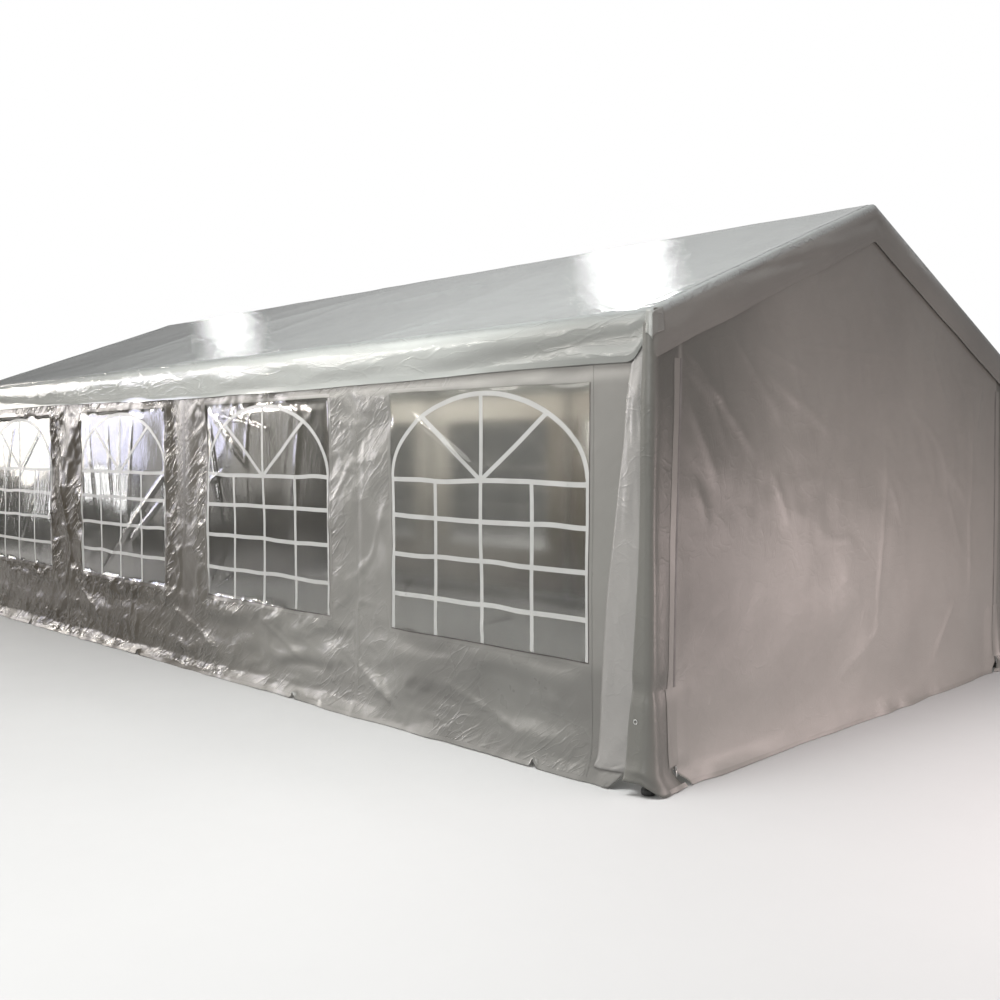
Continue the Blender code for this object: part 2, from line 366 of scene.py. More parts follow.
def new_group(name, inputs, outputs):
    """An empty shader group with named sockets: (name, kind, value)."""
    group = bpy.data.node_groups.new(name, "ShaderNodeTree")
    for title, kind, value in inputs:
        socket = group.interface.new_socket(title, in_out="INPUT", socket_type=kind)
        if value is not None:
            socket.default_value = value
    for title, kind in outputs:
        group.interface.new_socket(title, in_out="OUTPUT", socket_type=kind)
    return group, group.nodes.new("NodeGroupInput"), group.nodes.new("NodeGroupOutput")


def crinkle_group():
    """Height of small sharp creases, where a cloudy pattern passes its middle value."""
    group, source, result = new_group(
        "crinkle",
        [("Vector", "NodeSocketVector", None), ("Stretch", "NodeSocketVector", (1, 1, 1)),
         ("Cells", "NodeSocketFloat", 20.0)],
        [("Height", "NodeSocketFloat")],
    )
    nodes, links = group.nodes, group.links
    stretched = node(nodes, "ShaderNodeVectorMath", operation="MULTIPLY")
    links.new(source.outputs["Vector"], stretched.inputs[0])
    links.new(source.outputs["Stretch"], stretched.inputs[1])
    heights = []
    for factor, share in ((1.0, 1.0), (2.3, 0.5)):
        cloud = node(nodes, "ShaderNodeTexNoise", Detail=1.0, Roughness=0.45, Distortion=0.6)
        links.new(stretched.outputs[0], cloud.inputs["Vector"])
        links.new(maths(nodes, links, "MULTIPLY", source.outputs["Cells"], factor), cloud.inputs["Scale"])
        offset = maths(nodes, links, "SUBTRACT", cloud.outputs["Fac"], 0.5)
        ridge = maths(nodes, links, "SUBTRACT", 0.05, maths(nodes, links, "ABSOLUTE", offset, 0.0))
        heights.append(maths(nodes, links, "MULTIPLY", maths(nodes, links, "MAXIMUM", ridge, 0.0), share))
    links.new(maths(nodes, links, "ADD", *heights), result.inputs["Height"])
    return group


def weave_group():
    """Height of flat tapes woven over and under each other."""
    group, source, result = new_group(
        "tape weave",
        [("Vector", "NodeSocketVector", None), ("Tapes", "NodeSocketFloat", 400.0)],
        [("Height", "NodeSocketFloat")],
    )
    nodes, links = group.nodes, group.links
    scaled = node(nodes, "ShaderNodeVectorMath", operation="SCALE")
    links.new(source.outputs["Vector"], scaled.inputs[0])
    links.new(source.outputs["Tapes"], scaled.inputs["Scale"])
    split = nodes.new("ShaderNodeSeparateXYZ")
    links.new(scaled.outputs[0], split.inputs[0])
    waves = [maths(nodes, links, "SINE", split.outputs[axis], 0.0) for axis in ("X", "Y")]
    links.new(maths(nodes, links, "MULTIPLY", *waves), result.inputs["Height"])
    return group


def mottle_group():
    """A soft cloudy mask from 0 to 1 for dust and uneven colour."""
    group, source, result = new_group(
        "mottle",
        [("Vector", "NodeSocketVector", None), ("Scale", "NodeSocketFloat", 2.0)],
        [("Mask", "NodeSocketFloat")],
    )
    nodes, links = group.nodes, group.links
    cloud = node(nodes, "ShaderNodeTexNoise", Detail=5.0, Roughness=0.6)
    links.new(source.outputs["Vector"], cloud.inputs["Vector"])
    links.new(source.outputs["Scale"], cloud.inputs["Scale"])
    spread = node(nodes, "ShaderNodeMapRange")
    spread.inputs["From Min"].default_value = 0.3
    spread.inputs["From Max"].default_value = 0.7
    links.new(cloud.outputs["Fac"], spread.inputs["Value"])
    links.new(spread.outputs["Result"], result.inputs["Mask"])
    return group


CRINKLE, WEAVE, MOTTLE = crinkle_group(), weave_group(), mottle_group()


def place_group(nodes, links, group, vector, **values):
    made = nodes.new("ShaderNodeGroup")
    made.node_tree = group
    links.new(vector, made.inputs["Vector"])
    for key, value in values.items():
        made.inputs[key].default_value = value
    return made


def cloudy_colour(nodes, links, shader, vector, scale, light, dark):
    """Base Color between two shades, by the mottle mask."""
    mask = place_group(nodes, links, MOTTLE, vector, Scale=scale).outputs["Mask"]
    mix = nodes.new("ShaderNodeMix")
    mix.data_type = "RGBA"
    mix.inputs["A"].default_value = (*light, 1)
    mix.inputs["B"].default_value = (*dark, 1)
    links.new(mask, mix.inputs["Factor"])
    links.new(mix.outputs["Result"], shader.inputs["Base Color"])
    return mask


def cover_material(name, light, dark, roughness, crinkle, stretch=(1, 1, 1), turn=0.0, dull=0.0):
    """Glossy coated woven sheet, crinkled where the crumple attribute is high, with painted light and shade in its
    colour from a colour offset attribute.
    """
    material, nodes, links, shader = node_tree(name)
    spot = nodes.new("ShaderNodeTexCoord").outputs["Object"]
    flat = node(nodes, "ShaderNodeUVMap", uv_map="flat").outputs["UV"]
    crumple = node(nodes, "ShaderNodeAttribute", attribute_name="crumple").outputs["Fac"]
    mask = cloudy_colour(nodes, links, shader, spot, 1.4, light, dark)
    # Painted light and shade: the colour offset attribute makes the Base Color paler or darker.
    painted_light_and_shade = node(nodes, "ShaderNodeAttribute", attribute_name="painted_light_and_shade").outputs["Vector"]
    share = node(nodes, "ShaderNodeVectorMath", operation="ADD")
    links.new(painted_light_and_shade, share.inputs[0])
    share.inputs[1].default_value = (1, 1, 1)
    shade = node(nodes, "ShaderNodeVectorMath", operation="MULTIPLY")
    links.new(shader.inputs["Base Color"].links[0].from_socket, shade.inputs[0])
    links.new(share.outputs[0], shade.inputs[1])
    links.new(shade.outputs[0], shader.inputs["Base Color"])

    gloss = nodes.new("ShaderNodeMapRange")
    gloss.inputs["To Min"].default_value, gloss.inputs["To Max"].default_value = roughness
    links.new(mask, gloss.inputs["Value"])
    smooth = maths(nodes, links, "MAXIMUM", maths(nodes, links, "SUBTRACT", 1.0, crumple), 0.0)
    duller = maths(nodes, links, "MULTIPLY", smooth, dull)
    links.new(maths(nodes, links, "ADD", gloss.outputs["Result"], duller), shader.inputs["Roughness"])

    turned = node(nodes, "ShaderNodeMapping", Rotation=(turn, 0, 0))
    links.new(spot, turned.inputs["Vector"])
    cells = place_group(nodes, links, CRINKLE, turned.outputs["Vector"], Cells=9.0, Stretch=stretch)
    height = maths(nodes, links, "MULTIPLY", cells.outputs["Height"], crumple)
    coarse = node(nodes, "ShaderNodeBump", Strength=1.0, Distance=crinkle)
    links.new(height, coarse.inputs["Height"])
    tapes = place_group(nodes, links, WEAVE, flat, Tapes=2400.0)
    fine = node(nodes, "ShaderNodeBump", Strength=0.15, Distance=0.0003)
    links.new(tapes.outputs["Height"], fine.inputs["Height"])
    links.new(coarse.outputs["Normal"], fine.inputs["Normal"])
    links.new(fine.outputs["Normal"], shader.inputs["Normal"])
    shader.inputs["IOR"].default_value = 1.5
    return material


def film_material(name):
    """Clear flexible film: light passes straight through for shadows, so the inside is lit."""
    material, nodes, links, shader = node_tree(name)
    spot = nodes.new("ShaderNodeTexCoord").outputs["Object"]
    cloudy_colour(nodes, links, shader, spot, 3.0, (0.84, 0.835, 0.81), (0.76, 0.755, 0.73))
    shader.inputs["Transmission Weight"].default_value = 1.0
    shader.inputs["IOR"].default_value = 1.5
    shader.inputs["Roughness"].default_value = 0.09
    crumple = node(nodes, "ShaderNodeAttribute", attribute_name="crumple").outputs["Fac"]
    cells = place_group(nodes, links, CRINKLE, spot, Cells=9.0, Stretch=(1, 1, 0.35))
    bump = node(nodes, "ShaderNodeBump", Strength=1.0, Distance=0.004)
    links.new(maths(nodes, links, "MULTIPLY", cells.outputs["Height"], crumple), bump.inputs["Height"])
    links.new(bump.outputs["Normal"], shader.inputs["Normal"])
    clear = node(nodes, "ShaderNodeBsdfTransparent", Color=(0.80, 0.81, 0.82, 1))
    mix = nodes.new("ShaderNodeMixShader")
    links.new(nodes.new("ShaderNodeLightPath").outputs["Is Shadow Ray"], mix.inputs["Fac"])
    links.new(shader.outputs[0], mix.inputs[1])
    links.new(clear.outputs[0], mix.inputs[2])
    links.new(mix.outputs[0], nodes["Material Output"].inputs["Surface"])
    return material


def plain_material(name, light, dark, roughness, scale=8.0, bump=0.0004, metallic=0.0, grain=120.0):
    """Moulded, printed or metal finish with a cloudy colour and a fine grain."""
    material, nodes, links, shader = node_tree(name)
    spot = nodes.new("ShaderNodeTexCoord").outputs["Object"]
    mask = cloudy_colour(nodes, links, shader, spot, scale, light, dark)
    gloss = nodes.new("ShaderNodeMapRange")
    gloss.inputs["To Min"].default_value, gloss.inputs["To Max"].default_value = roughness
    links.new(mask, gloss.inputs["Value"])
    links.new(gloss.outputs["Result"], shader.inputs["Roughness"])
    speck = node(nodes, "ShaderNodeTexNoise", Scale=grain, Detail=3.0)
    links.new(spot, speck.inputs["Vector"])
    surface = node(nodes, "ShaderNodeBump", Strength=0.6, Distance=bump)
    links.new(speck.outputs["Fac"], surface.inputs["Height"])
    links.new(surface.outputs["Normal"], shader.inputs["Normal"])
    shader.inputs["Metallic"].default_value = metallic
    return material


# One cover cloth in four shades: roof and corner bands paler as painted light, walls and gables darker as painted
# shade.
roof_cloth = cover_material("roof cloth", (0.245, 0.257, 0.25), (0.21, 0.22, 0.215), (0.08, 0.14), 0.050, (1, 0.3, 1))
side_cloth = cover_material("side wall cloth", (0.200, 0.197, 0.184), (0.160, 0.155, 0.145), (0.07, 0.13), 0.09, (1, 1.3, 0.32), -0.86, 0.20)
side_cloth.node_tree.nodes["Principled BSDF"].inputs["Specular IOR Level"].default_value = 0.32
gable_cloth = cover_material("gable cloth", (0.186, 0.181, 0.166), (0.160, 0.155, 0.142), (0.30, 0.40), 0.013)
band_cloth = cover_material("double cloth band", (0.25, 0.243, 0.232), (0.21, 0.204, 0.195), (0.18, 0.28), 0.016)
clear_film = film_material("clear window film")
white_print = plain_material("white printed bar", (0.40, 0.40, 0.39), (0.34, 0.34, 0.33), (0.30, 0.45))
# Painted shadow: dark lines at the windows' lower and near edges, where the cut cloth edge casts shade.
painted_edge_shadow = plain_material("painted edge shadow", (0.05, 0.04, 0.04), (0.03, 0.025, 0.02), (0.4, 0.6))
zip_tape = plain_material("zip tape", (0.16, 0.155, 0.15), (0.12, 0.115, 0.11), (0.6, 0.8), grain=600.0)
zip_coil = plain_material("zip coil", (0.10, 0.097, 0.092), (0.07, 0.068, 0.064), (0.4, 0.6), grain=600.0)
zip_metal = plain_material("zip slider metal", (0.55, 0.55, 0.54), (0.42, 0.42, 0.41), (0.25, 0.4), metallic=1.0)
steel = plain_material("galvanised tube", (0.50, 0.51, 0.52), (0.36, 0.37, 0.38), (0.32, 0.5), 14.0, 0.0003, 0.85)
black_plastic = plain_material("black foot plastic", (0.020, 0.020, 0.018), (0.012, 0.012, 0.012), (0.4, 0.6))


# The roof cover with its valances
def roof_section(s):
    """x and z of the distance s from the ridge over one slope, its eave and its valance."""
    top = np.clip(s, 0, RIDGE_ARC) / RIDGE_ROUND
    slope = np.clip(s - RIDGE_ARC, 0, SLOPE_LENGTH)
    turn = PITCH + np.clip(s - RIDGE_ARC - SLOPE_LENGTH, 0, EAVE_ARC) / EAVE_ROUND
    hang = np.clip(s - EAVE_FLAT, 0, None)
    x = RIDGE_ROUND * np.sin(top) + slope * math.cos(PITCH) + EAVE_ROUND * (np.sin(turn) - math.sin(PITCH))
    z = (ROOF_TOP - RIDGE_ROUND * (1 - np.cos(top)) - slope * math.sin(PITCH)
         - EAVE_ROUND * (math.cos(PITCH) - np.cos(turn)) - hang)
    return x, z


def valance_cut(y):
    """Share of its full drop that a side valance has at y. It is cut away towards each corner."""
    return np.interp(y, [3.905, 3.990], [1.0, 0.42])


def rake_section(t):
    """y and drop of the distance t from the middle of the roof over its end."""
    turn = np.clip(t - RAKE_START, 0, RAKE_ARC) / RAKE_ROUND
    y = np.clip(t, 0, RAKE_START) + RAKE_ROUND * np.sin(turn)
    return y, RAKE_ROUND * (1 - np.cos(turn)) + np.clip(t - RAKE_FLAT, 0, None)


# Long creases of the left slope: start and end as (y, distance from the ridge), width, height
ROOF_FOLDS = (
    ((0.95, 0.92), (-0.30, 0.10), 0.05, 0.008),
    ((-0.34, 0.84), (-1.95, 0.53), 0.05, 0.008),
    ((-1.98, 2.14), (-2.38, 1.64), 0.04, 0.007),
    ((-3.74, 2.20), (-3.93, 1.72), 0.02, 0.006),
    ((-3.84, 2.16), (-3.97, 1.50), 0.02, 0.004),
    ((2.2, 1.9), (1.4, 0.9), 0.05, 0.003),
)


def valance_painted_light(ahead):
    """Painted light of a side valance, as a colour offset: palest in the middle of the wall, less at its ends, a
    little warm.
    """
    level = 0.14 + 0.86 * ramp(-3.6, -2.4, ahead) - 0.36 * ramp(0.2, 2.4, ahead)
    return level[..., None] + np.array((0.02, -0.01, -0.04))


# Painted shade of the end valances, which face away from the light: darker and a little warmer.
END_VALANCE_PAINTED_SHADE = np.array((-0.26, -0.31, -0.35))


def make_roof():
    eave_cells = EAVE_FLAT - EAVE_ARC
    half = np.concatenate([
        lines(ROOF_STEP, 0, RIDGE_ARC, eave_cells - 0.20)[:-1], lines(0.016, eave_cells - 0.20, eave_cells)[:-1],
        lines(0.009, eave_cells, EAVE_FLAT), lines(0.013, EAVE_FLAT, EAVE_FLAT + SIDE_HANG)[1:],
    ])
    s = np.concatenate([-half[:0:-1], half])
    length = np.concatenate([
        lines(ROOF_STEP, 0, RAKE_START)[:-1], lines(0.010, RAKE_START, RAKE_FLAT),
        lines(0.016, RAKE_FLAT, RAKE_FLAT + GABLE_HANG)[1:],
    ])
    t = np.concatenate([-length[:0:-1], length])
    S, T = np.meshgrid(s, t, indexing="ij")

    y, drop = rake_section(np.abs(T))
    beside = np.abs(S) - EAVE_FLAT
    beyond = np.abs(T) - RAKE_FLAT
    cut = valance_cut(y)
    flat_s = np.where(beside > 0, EAVE_FLAT + beside * cut, np.abs(S))
    x, z = roof_section(flat_s)
    z = z - drop

    down_slope = np.clip(np.abs(S) - RIDGE_ARC, 0, SLOPE_LENGTH) / SLOPE_LENGTH
    along = np.sign(T) * y
    bay = np.abs(np.sin(math.pi * (along + LEG_Y) / BAY))
    side_seed = np.where(S < 0, 0.0, 37.0)
    sag = -0.013 * bay**0.8 * np.sin(math.pi * down_slope) * (1 + 0.4 * swell(along, S, 1.1, 3))
    sag *= ramp(0.0, 0.08, END_Y - y)
    soft = 0.004 * swell(along, S + side_seed, 0.55, 5) + 0.0025 * facets(along, S + side_seed, 0.21, 6)
    near_edge = ramp(0.22, 0.0, np.minimum(EAVE_FLAT - np.abs(S), 1.6 * (END_Y - y)))
    pucker = near_edge * (0.0050 * creases(0.30 * along, S + side_seed, 0.060, 0.012, 8)
                          + 0.0045 * creases(0.55 * along, S + side_seed, 0.110, 0.016, 9))
    lift = sag + (soft + pucker * ramp(-1.2, 1.0, swell(along, S, 0.8, 10) + near_edge)) * ramp(0.0, 0.05, END_Y - y)
    for start, end, width, height in ROOF_FOLDS:
        lift += np.where(S < 0, fold(along, np.abs(S), start, end, width, height), 0)
        lift += np.where(S > 0, fold(-along, np.abs(S), start, end, width, 0.8 * height), 0)
    on_frame = np.minimum(np.abs((along + LEG_Y + BAY / 2) % BAY - BAY / 2), 0.3 * np.abs(S))
    lift = np.maximum(lift, -0.001 - 0.05 * ramp(0.02, 0.25, on_frame) * np.sin(math.pi * down_slope))
    lift = np.where((beside > 0) | (beyond > 0), 0, lift)
    x = x + lift * math.sin(PITCH) * (np.abs(S) > RIDGE_ARC)
    z = z + lift * math.cos(PITCH)

    # The valances puff out below the rail and tuck in at the hem
    depth = np.clip(beside / SIDE_HANG, 0, 1)
    drop_here = SIDE_HANG * depth
    ending = ramp(2.9, 3.9, y)
    puff = 0.040 * (1 - 0.55 * ending) * np.sin(math.pi * depth**0.55) * (1 + 0.3 * swell(along, side_seed, 0.9, 11))
    hollow = 0.92 - 0.46 * ramp(2.3, 3.9, y) + 0.12 * swell(along, side_seed, 0.7, 12)
    puff -= (0.010 + 0.004 * ramp(2.2, 3.2, y)) * np.exp(-(((depth - hollow) / 0.20) ** 2))
    puff += 0.0045 * swell(0.16 * along, drop_here + side_seed, 0.055, 13) * ramp(0, 0.2, depth)
    puff += 0.0022 * creases(0.12 * along, drop_here + side_seed, 0.070, 0.014, 14) * ramp(0, 0.15, depth)
    puff += 0.0014 * creases(0.5 * along + 0.3 * drop_here, drop_here + side_seed, 0.26, 0.020, 19)
    puff = np.where(beside > 0, np.maximum(puff + 0.008 * depth * (1 - ending), 0.005 * depth * (1 - ending)), 0)
    x = x + puff * ramp(0.0, 0.06, END_Y - y)
    ahead = np.where(S < 0, along, -along)
    hem_dip = 0.011 + 0.020 * ramp(-3.4, -1.0, ahead) * ramp(2.0, 0.2, ahead)
    hem_dip = hem_dip - 0.004 * swell(along, side_seed, 0.33, 15)
    z = z - np.where(beside > 0, depth * hem_dip, 0)

    fall = np.clip(beyond / GABLE_HANG, 0, 1)
    wave = 0.009 * np.sin(math.pi * fall**0.9) * (1 + 0.6 * swell(S, T * 0 + 3, 0.6, 16))
    wave += 0.0040 * facets(0.5 * S, fall * 0.2 + T * 0.01, 0.10, 17) * ramp(0, 0.3, fall) * ramp(1.0, 0.7, fall)
    wave -= fold(S * np.sign(-T), fall * GABLE_HANG, (-1.53, 0.0), (-0.31, 0.15), 0.035, 0.008)
    wave = np.where(beyond > 0, np.maximum(wave, -0.0012) - 0.0012 * ramp(0.6, 1.0, fall), 0)
    y = y + wave * ramp(0.0, 0.08, EAVE_X - x)
    z = z + np.where(beyond > 0, 0.005 * fall * swell(S, T * 0, 0.3, 18), 0)

    # Round the corner in plan
    dx, dy = x - (EAVE_X - CORNER_ROUND), y - (END_Y - CORNER_ROUND)
    radius = np.hypot(dx, dy)
    turn = (dx > 0) & (dy > 0) & (radius > CORNER_ROUND)
    pull = np.where(turn, CORNER_ROUND / np.maximum(radius, 1e-6), 1)
    x = np.where(turn, EAVE_X - CORNER_ROUND + dx * pull, x)
    y = np.where(turn, END_Y - CORNER_ROUND + dy * pull, y)

    points = np.stack([np.sign(S) * x, np.sign(T) * y, z], axis=-1)
    sheet = Sheet(s, t, points, 1)
    middle_s, middle_t = (s[1:] + s[:-1]) / 2, (t[1:] + t[:-1]) / 2
    keep = (np.abs(middle_s) < EAVE_FLAT)[:, None] | (np.abs(middle_t) < RAKE_FLAT)[None, :]
    hanging = ramp(-0.02, 0.03, beside)
    crumple = (0.24 + 0.7 * near_edge) * (1 - hanging)
    crumple += hanging * (0.42 + 0.22 * ramp(-2.6, 1.5, ahead))
    crumple = np.where(beyond > 0, 0.12, crumple)
    # Painted light and shade: paler valances with painted shade in their hollow near the ends, slopes darker at the
    # far end.
    shade = 0.22 * ramp(2.2, 3.2, y) * np.exp(-(((depth - hollow) / 0.20) ** 2))
    slope_painted_shading = 0.14 * ramp(-3.9, -2.2, ahead) - 0.42 * ramp(0.0, 3.6, ahead)
    painted_light_and_shade = hanging[..., None] * (valance_painted_light(ahead) - shade[..., None])
    painted_light_and_shade = painted_light_and_shade + ((1 - hanging) * (beyond < 0) * slope_painted_shading)[..., None] + (beyond > 0)[..., None] * END_VALANCE_PAINTED_SHADE
    piece = cloth("roof_sheet", sheet, roof_cloth, keep, crumple, painted_light_and_shade)
    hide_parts("roof_cover")
    flat = (2 * (EAVE_FLAT + SIDE_HANG), 2 * (RAKE_FLAT + GABLE_HANG))
    return piece, sheet, flat, flat_area(sheet, keep)


# The side walls
def skirt_profile(u, crease, soft):
    """How far out and how high a point of a wall is, at distance u up from its hem.

    soft is 0 where the rail presses a crease into the cloth and 1 where it only sweeps out.
    """
    share = np.clip(u / SKIRT_FLAT, 0, 1)
    creased = SKIRT_FLARE * (1 - share) ** 1.15
    swept = SKIRT_FLARE * np.clip(1 - u / (3.2 * SKIRT_FLAT), 0, 1) ** 2.4
    z = np.where(u < SKIRT_FLAT, HEM_Z + (crease - HEM_Z) * share, crease + (u - SKIRT_FLAT))
    return creased * (1 - soft) + swept * soft, z


# Folds of the left wall: start and end as (y, z), width, height
SIDE_FOLDS = (
    ((-2.60, 0.33), (-3.30, 0.12), 0.035, 0.010),
    ((-1.80, 0.36), (-2.35, 0.10), 0.040, 0.016),
    ((-1.97, 0.50), (-2.02, 1.80), 0.030, 0.006),
    ((-1.70, 1.16), (-1.93, 1.48), 0.025, 0.009),
    ((-2.05, 0.30), (-2.42, 0.02), 0.030, 0.010),
    ((-3.40, 0.40), (-3.62, 0.08), 0.030, 0.009),
    ((-0.9, 0.48), (-1.5, 0.20), 0.035, 0.012),
    ((0.3, 0.45), (-0.5, 0.16), 0.030, 0.012),
    ((0.10, 1.75), (-0.16, 1.10), 0.030, 0.010),
    ((2.1, 1.5), (1.85, 0.6), 0.035, 0.014),
    ((1.9, 0.5), (1.2, 0.15), 0.035, 0.014),
    ((3.7, 1.2), (3.9, 0.3), 0.040, 0.014),
)


def side_bulge(y, z, mirror):
    """How far the side wall stands out at (y, z), before it is held by the frame."""
    seed = 100 if mirror > 0 else 0
    far = ramp(-2.9, 1.6, -mirror * y)
    calm = ramp(-2.30, -2.85, -mirror * y)
    plain = ramp(-3.58, -3.70, -mirror * y)
    edge = window_distance(y, z)
    crumpled = (0.65 + 0.35 * far - 0.38 * calm) * (1 - 0.85 * plain)
    crumpled = crumpled * (1 - 0.45 * far * ramp(0.14, 0.22, z) * ramp(0.46, 0.38, z))

    # Soft lengthwise drapes below the windows
    drape = ramp(0.60, 0.44, z) * (1 - plain) * (1 - 0.4 * far)
    sway = 0.06 * swell(y, z, 0.5, 36 + seed)
    bulge = drape * (0.014 - 0.002 * calm) * swell(0.20 * y, z + sway, 0.085, 33 + seed)
    bulge += drape * (0.008 - 0.005 * calm) * swell(0.5 * y + 0.4 * z, z, 0.10, 37 + seed)

    bulge += crumpled * (0.019 * facets(y, z, 0.27, 22 + seed) + 0.0060 * facets(y, z, 0.11, 23 + seed))
    bulge += crumpled * 0.013 * creases(y, z, 0.30, 0.034, 24 + seed)
    bulge += crumpled * 0.010 * creases(y + 0.35 * z, 0.8 * z, 0.15, 0.020, 25 + seed)
    bulge += crumpled * 0.007 * creases(0.7 * y - 0.3 * z, z, 0.17, 0.018, 27 + seed)
    bulge += crumpled * 0.005 * creases(y, 0.8 * z + 0.3 * y, 0.085, 0.015, 28 + seed)

    # Dense creases beside and under the windows and at the hem, more of them towards the far end
    along, across = 0.76 * mirror * y + 0.65 * z, 0.65 * mirror * y - 0.76 * z
    beside = ramp(0.15, 0.02, edge)
    pucker = beside * (0.06 + 0.94 * ramp(-2.4, -0.4, -mirror * y))
    bulge += pucker * 0.011 * creases(0.30 * along, across, 0.080, 0.010, 34 + seed)
    bulge += pucker * 0.008 * creases(0.22 * along + 0.2 * across, across, 0.050, 0.009, 26 + seed)
    hem = ramp(0.36, 0.12, z) * (0.35 + 0.65 * far)
    bulge += hem * 0.014 * creases(0.40 * along, across, 0.12, 0.018, 38 + seed)
    bulge += hem * 0.009 * creases(0.30 * along, across + 0.3 * along, 0.07, 0.014, 40 + seed)
    for start, end, width, height in SIDE_FOLDS:
        if mirror > 0:
            start, end = (-start[0], start[1]), (-end[0], end[1])
        bulge += fold(y, z, start, end, width, height)

    # The film in the openings stays smooth
    return 0.012 * swell(y, z, 0.75, 21 + seed) + bulge * ramp(-0.022, 0.012, edge)


def window_distance(y, z):
    """Distance outside the nearest window opening, negative inside it."""
    nearest = np.full(np.shape(y), 9.0)
    for low, high in WINDOW_BOXES:
        aside = np.maximum(low.y - y, y - high.y)
        above = np.maximum(low.z - z, z - high.z)
        nearest = np.minimum(nearest, np.maximum(aside, above))
    return nearest


def side_painted_light(ahead, z):
    """Painted light and shade of a side wall: darker and warmer towards its far end and low near its near end, paler
    under the valance.
    """
    duller = -0.84 * ramp(-2.2, 1.2, ahead)[..., None] * np.array((0.95, 1.0, 1.06))
    level = 0.10 * ramp(-2.9, -2.2, ahead) + 0.55 * ramp(1.79, 1.84, z) - 0.20 * ramp(-2.2, -2.6, ahead) * ramp(0.56, 0.48, z)
    return duller + level[..., None]


def make_side(name, mirror):
    """A long wall. mirror is -1 on the left and 1 on the right."""
    jambs = sorted(y for low, high in WINDOW_BOXES for y in (low.y, high.y))
    end = LEG_Y + 0.012
    y_lines = lines(SIDE_STEP, -end, *jambs, end)
    base = SKIRT_FLAT - SKIRT_HEIGHT
    u_lines = lines(SIDE_STEP, 0, SKIRT_FLAT, SILL + base, HEAD + base, WALL_TOP + base)
    Y, U = np.meshgrid(y_lines, u_lines, indexing="ij")

    crease = SKIRT_HEIGHT * (0.86 + 0.16 * swell(Y, U * 0, 0.5, 27) + 0.10 * swell(Y, U * 0, 0.13, 28))
    soft = np.clip(ramp(-1.4, -2.4, -mirror * Y) + 0.25 * swell(Y, U * 0, 0.6, 35), 0, 1)
    soft = soft * ramp(-3.80, -3.60, -mirror * Y)
    flare, z = skirt_profile(U, crease, soft)
    rise = ramp(SKIRT_FLAT, SKIRT_FLAT + 0.35, U)
    z = z * (1 - rise) + (U - base) * rise
    for notch in NOTCH_YS:
        z += 0.045 * np.clip(1 - np.abs(Y - notch) / 0.022, 0, 1) * ramp(0.06, 0.0, U)

    bulge = side_bulge(Y, z, mirror)
    leg = np.abs((Y + LEG_Y + BAY / 2) % BAY - BAY / 2)
    floor = -0.0035 - 0.034 * ramp(0.03, 0.30, leg) * ramp(0.16, 0.30, z) * ramp(1.92, 1.78, z)
    near_rail = ramp(0.16, 0.10, z)
    bulge = bulge * (1 - 0.5 * near_rail) + 0.004 * near_rail
    bulge = np.maximum(bulge, floor)
    bulge = np.where(z > 1.76, np.minimum(bulge, 0.030 - 0.025 * ramp(1.76, 1.84, z)), bulge)
    bulge *= ramp(1.10, 1.0, np.abs(Y) / end)
    lap = 0.010 * swell(Y, z, 0.16, 29) * ramp(SKIRT_FLAT, 0, U)
    kinked = ramp(-3.2, 0.5, -mirror * Y) * ramp(0.0, 0.05, U) * (flare > 0)
    flare = flare * (1 + 0.18 * swell(Y, U * 0, 0.22, 30) - 0.55 * kinked * creases(Y + 0.8 * U, U, 0.16, 0.03, 55))
    out = WALL_X + bulge + flare + lap * 0.6

    # The skirt stops short of the corner, where the foot shows
    back = np.interp(U, [0, SKIRT_FLAT, SKIRT_FLAT + 0.02, SKIRT_FLAT + 0.03], [0.185, 0.11, 0.05, 0.0])
    slide = back * ramp(0.35, 0.0, end - np.abs(Y))
    y = Y - np.sign(Y) * slide + 0.003 * swell(Y, U, 0.30, 31)
    points = np.stack([mirror * out, y, z + 0.003 * swell(Y, U, 0.27, 32)], axis=-1)
    sheet = Sheet(y_lines, u_lines, points, mirror)

    middle_y, middle_u = (y_lines[1:] + y_lines[:-1]) / 2, (u_lines[1:] + u_lines[:-1]) / 2
    MY, MU = np.meshgrid(middle_y, middle_u, indexing="ij")
    keep = window_distance(MY, MU - base) > 0
    far = ramp(-3.2, 1.4, -mirror * Y)
    edge = np.abs(window_distance(Y, z) - 0.03)
    crumple = 0.16 + 0.16 * far + (0.16 + 0.64 * far) * ramp(0.30, 0.10, z) + 1.0 * far * ramp(0.18, 0.02, edge)
    crumple = np.clip(crumple * (0.60 + 0.75 * swell(Y, U, 0.35, 39)), 0, 1.3)
    crumple *= 1 - 0.8 * ramp(-3.60, -3.72, -mirror * Y)
    # The wall's colour carries its painted light and shade.
    piece = cloth(name, sheet, side_cloth, keep, crumple, side_painted_light(-mirror * Y, z))
    flat = (2 * end, WALL_TOP + base)
    return piece, sheet, flat, flat_area(sheet, keep)


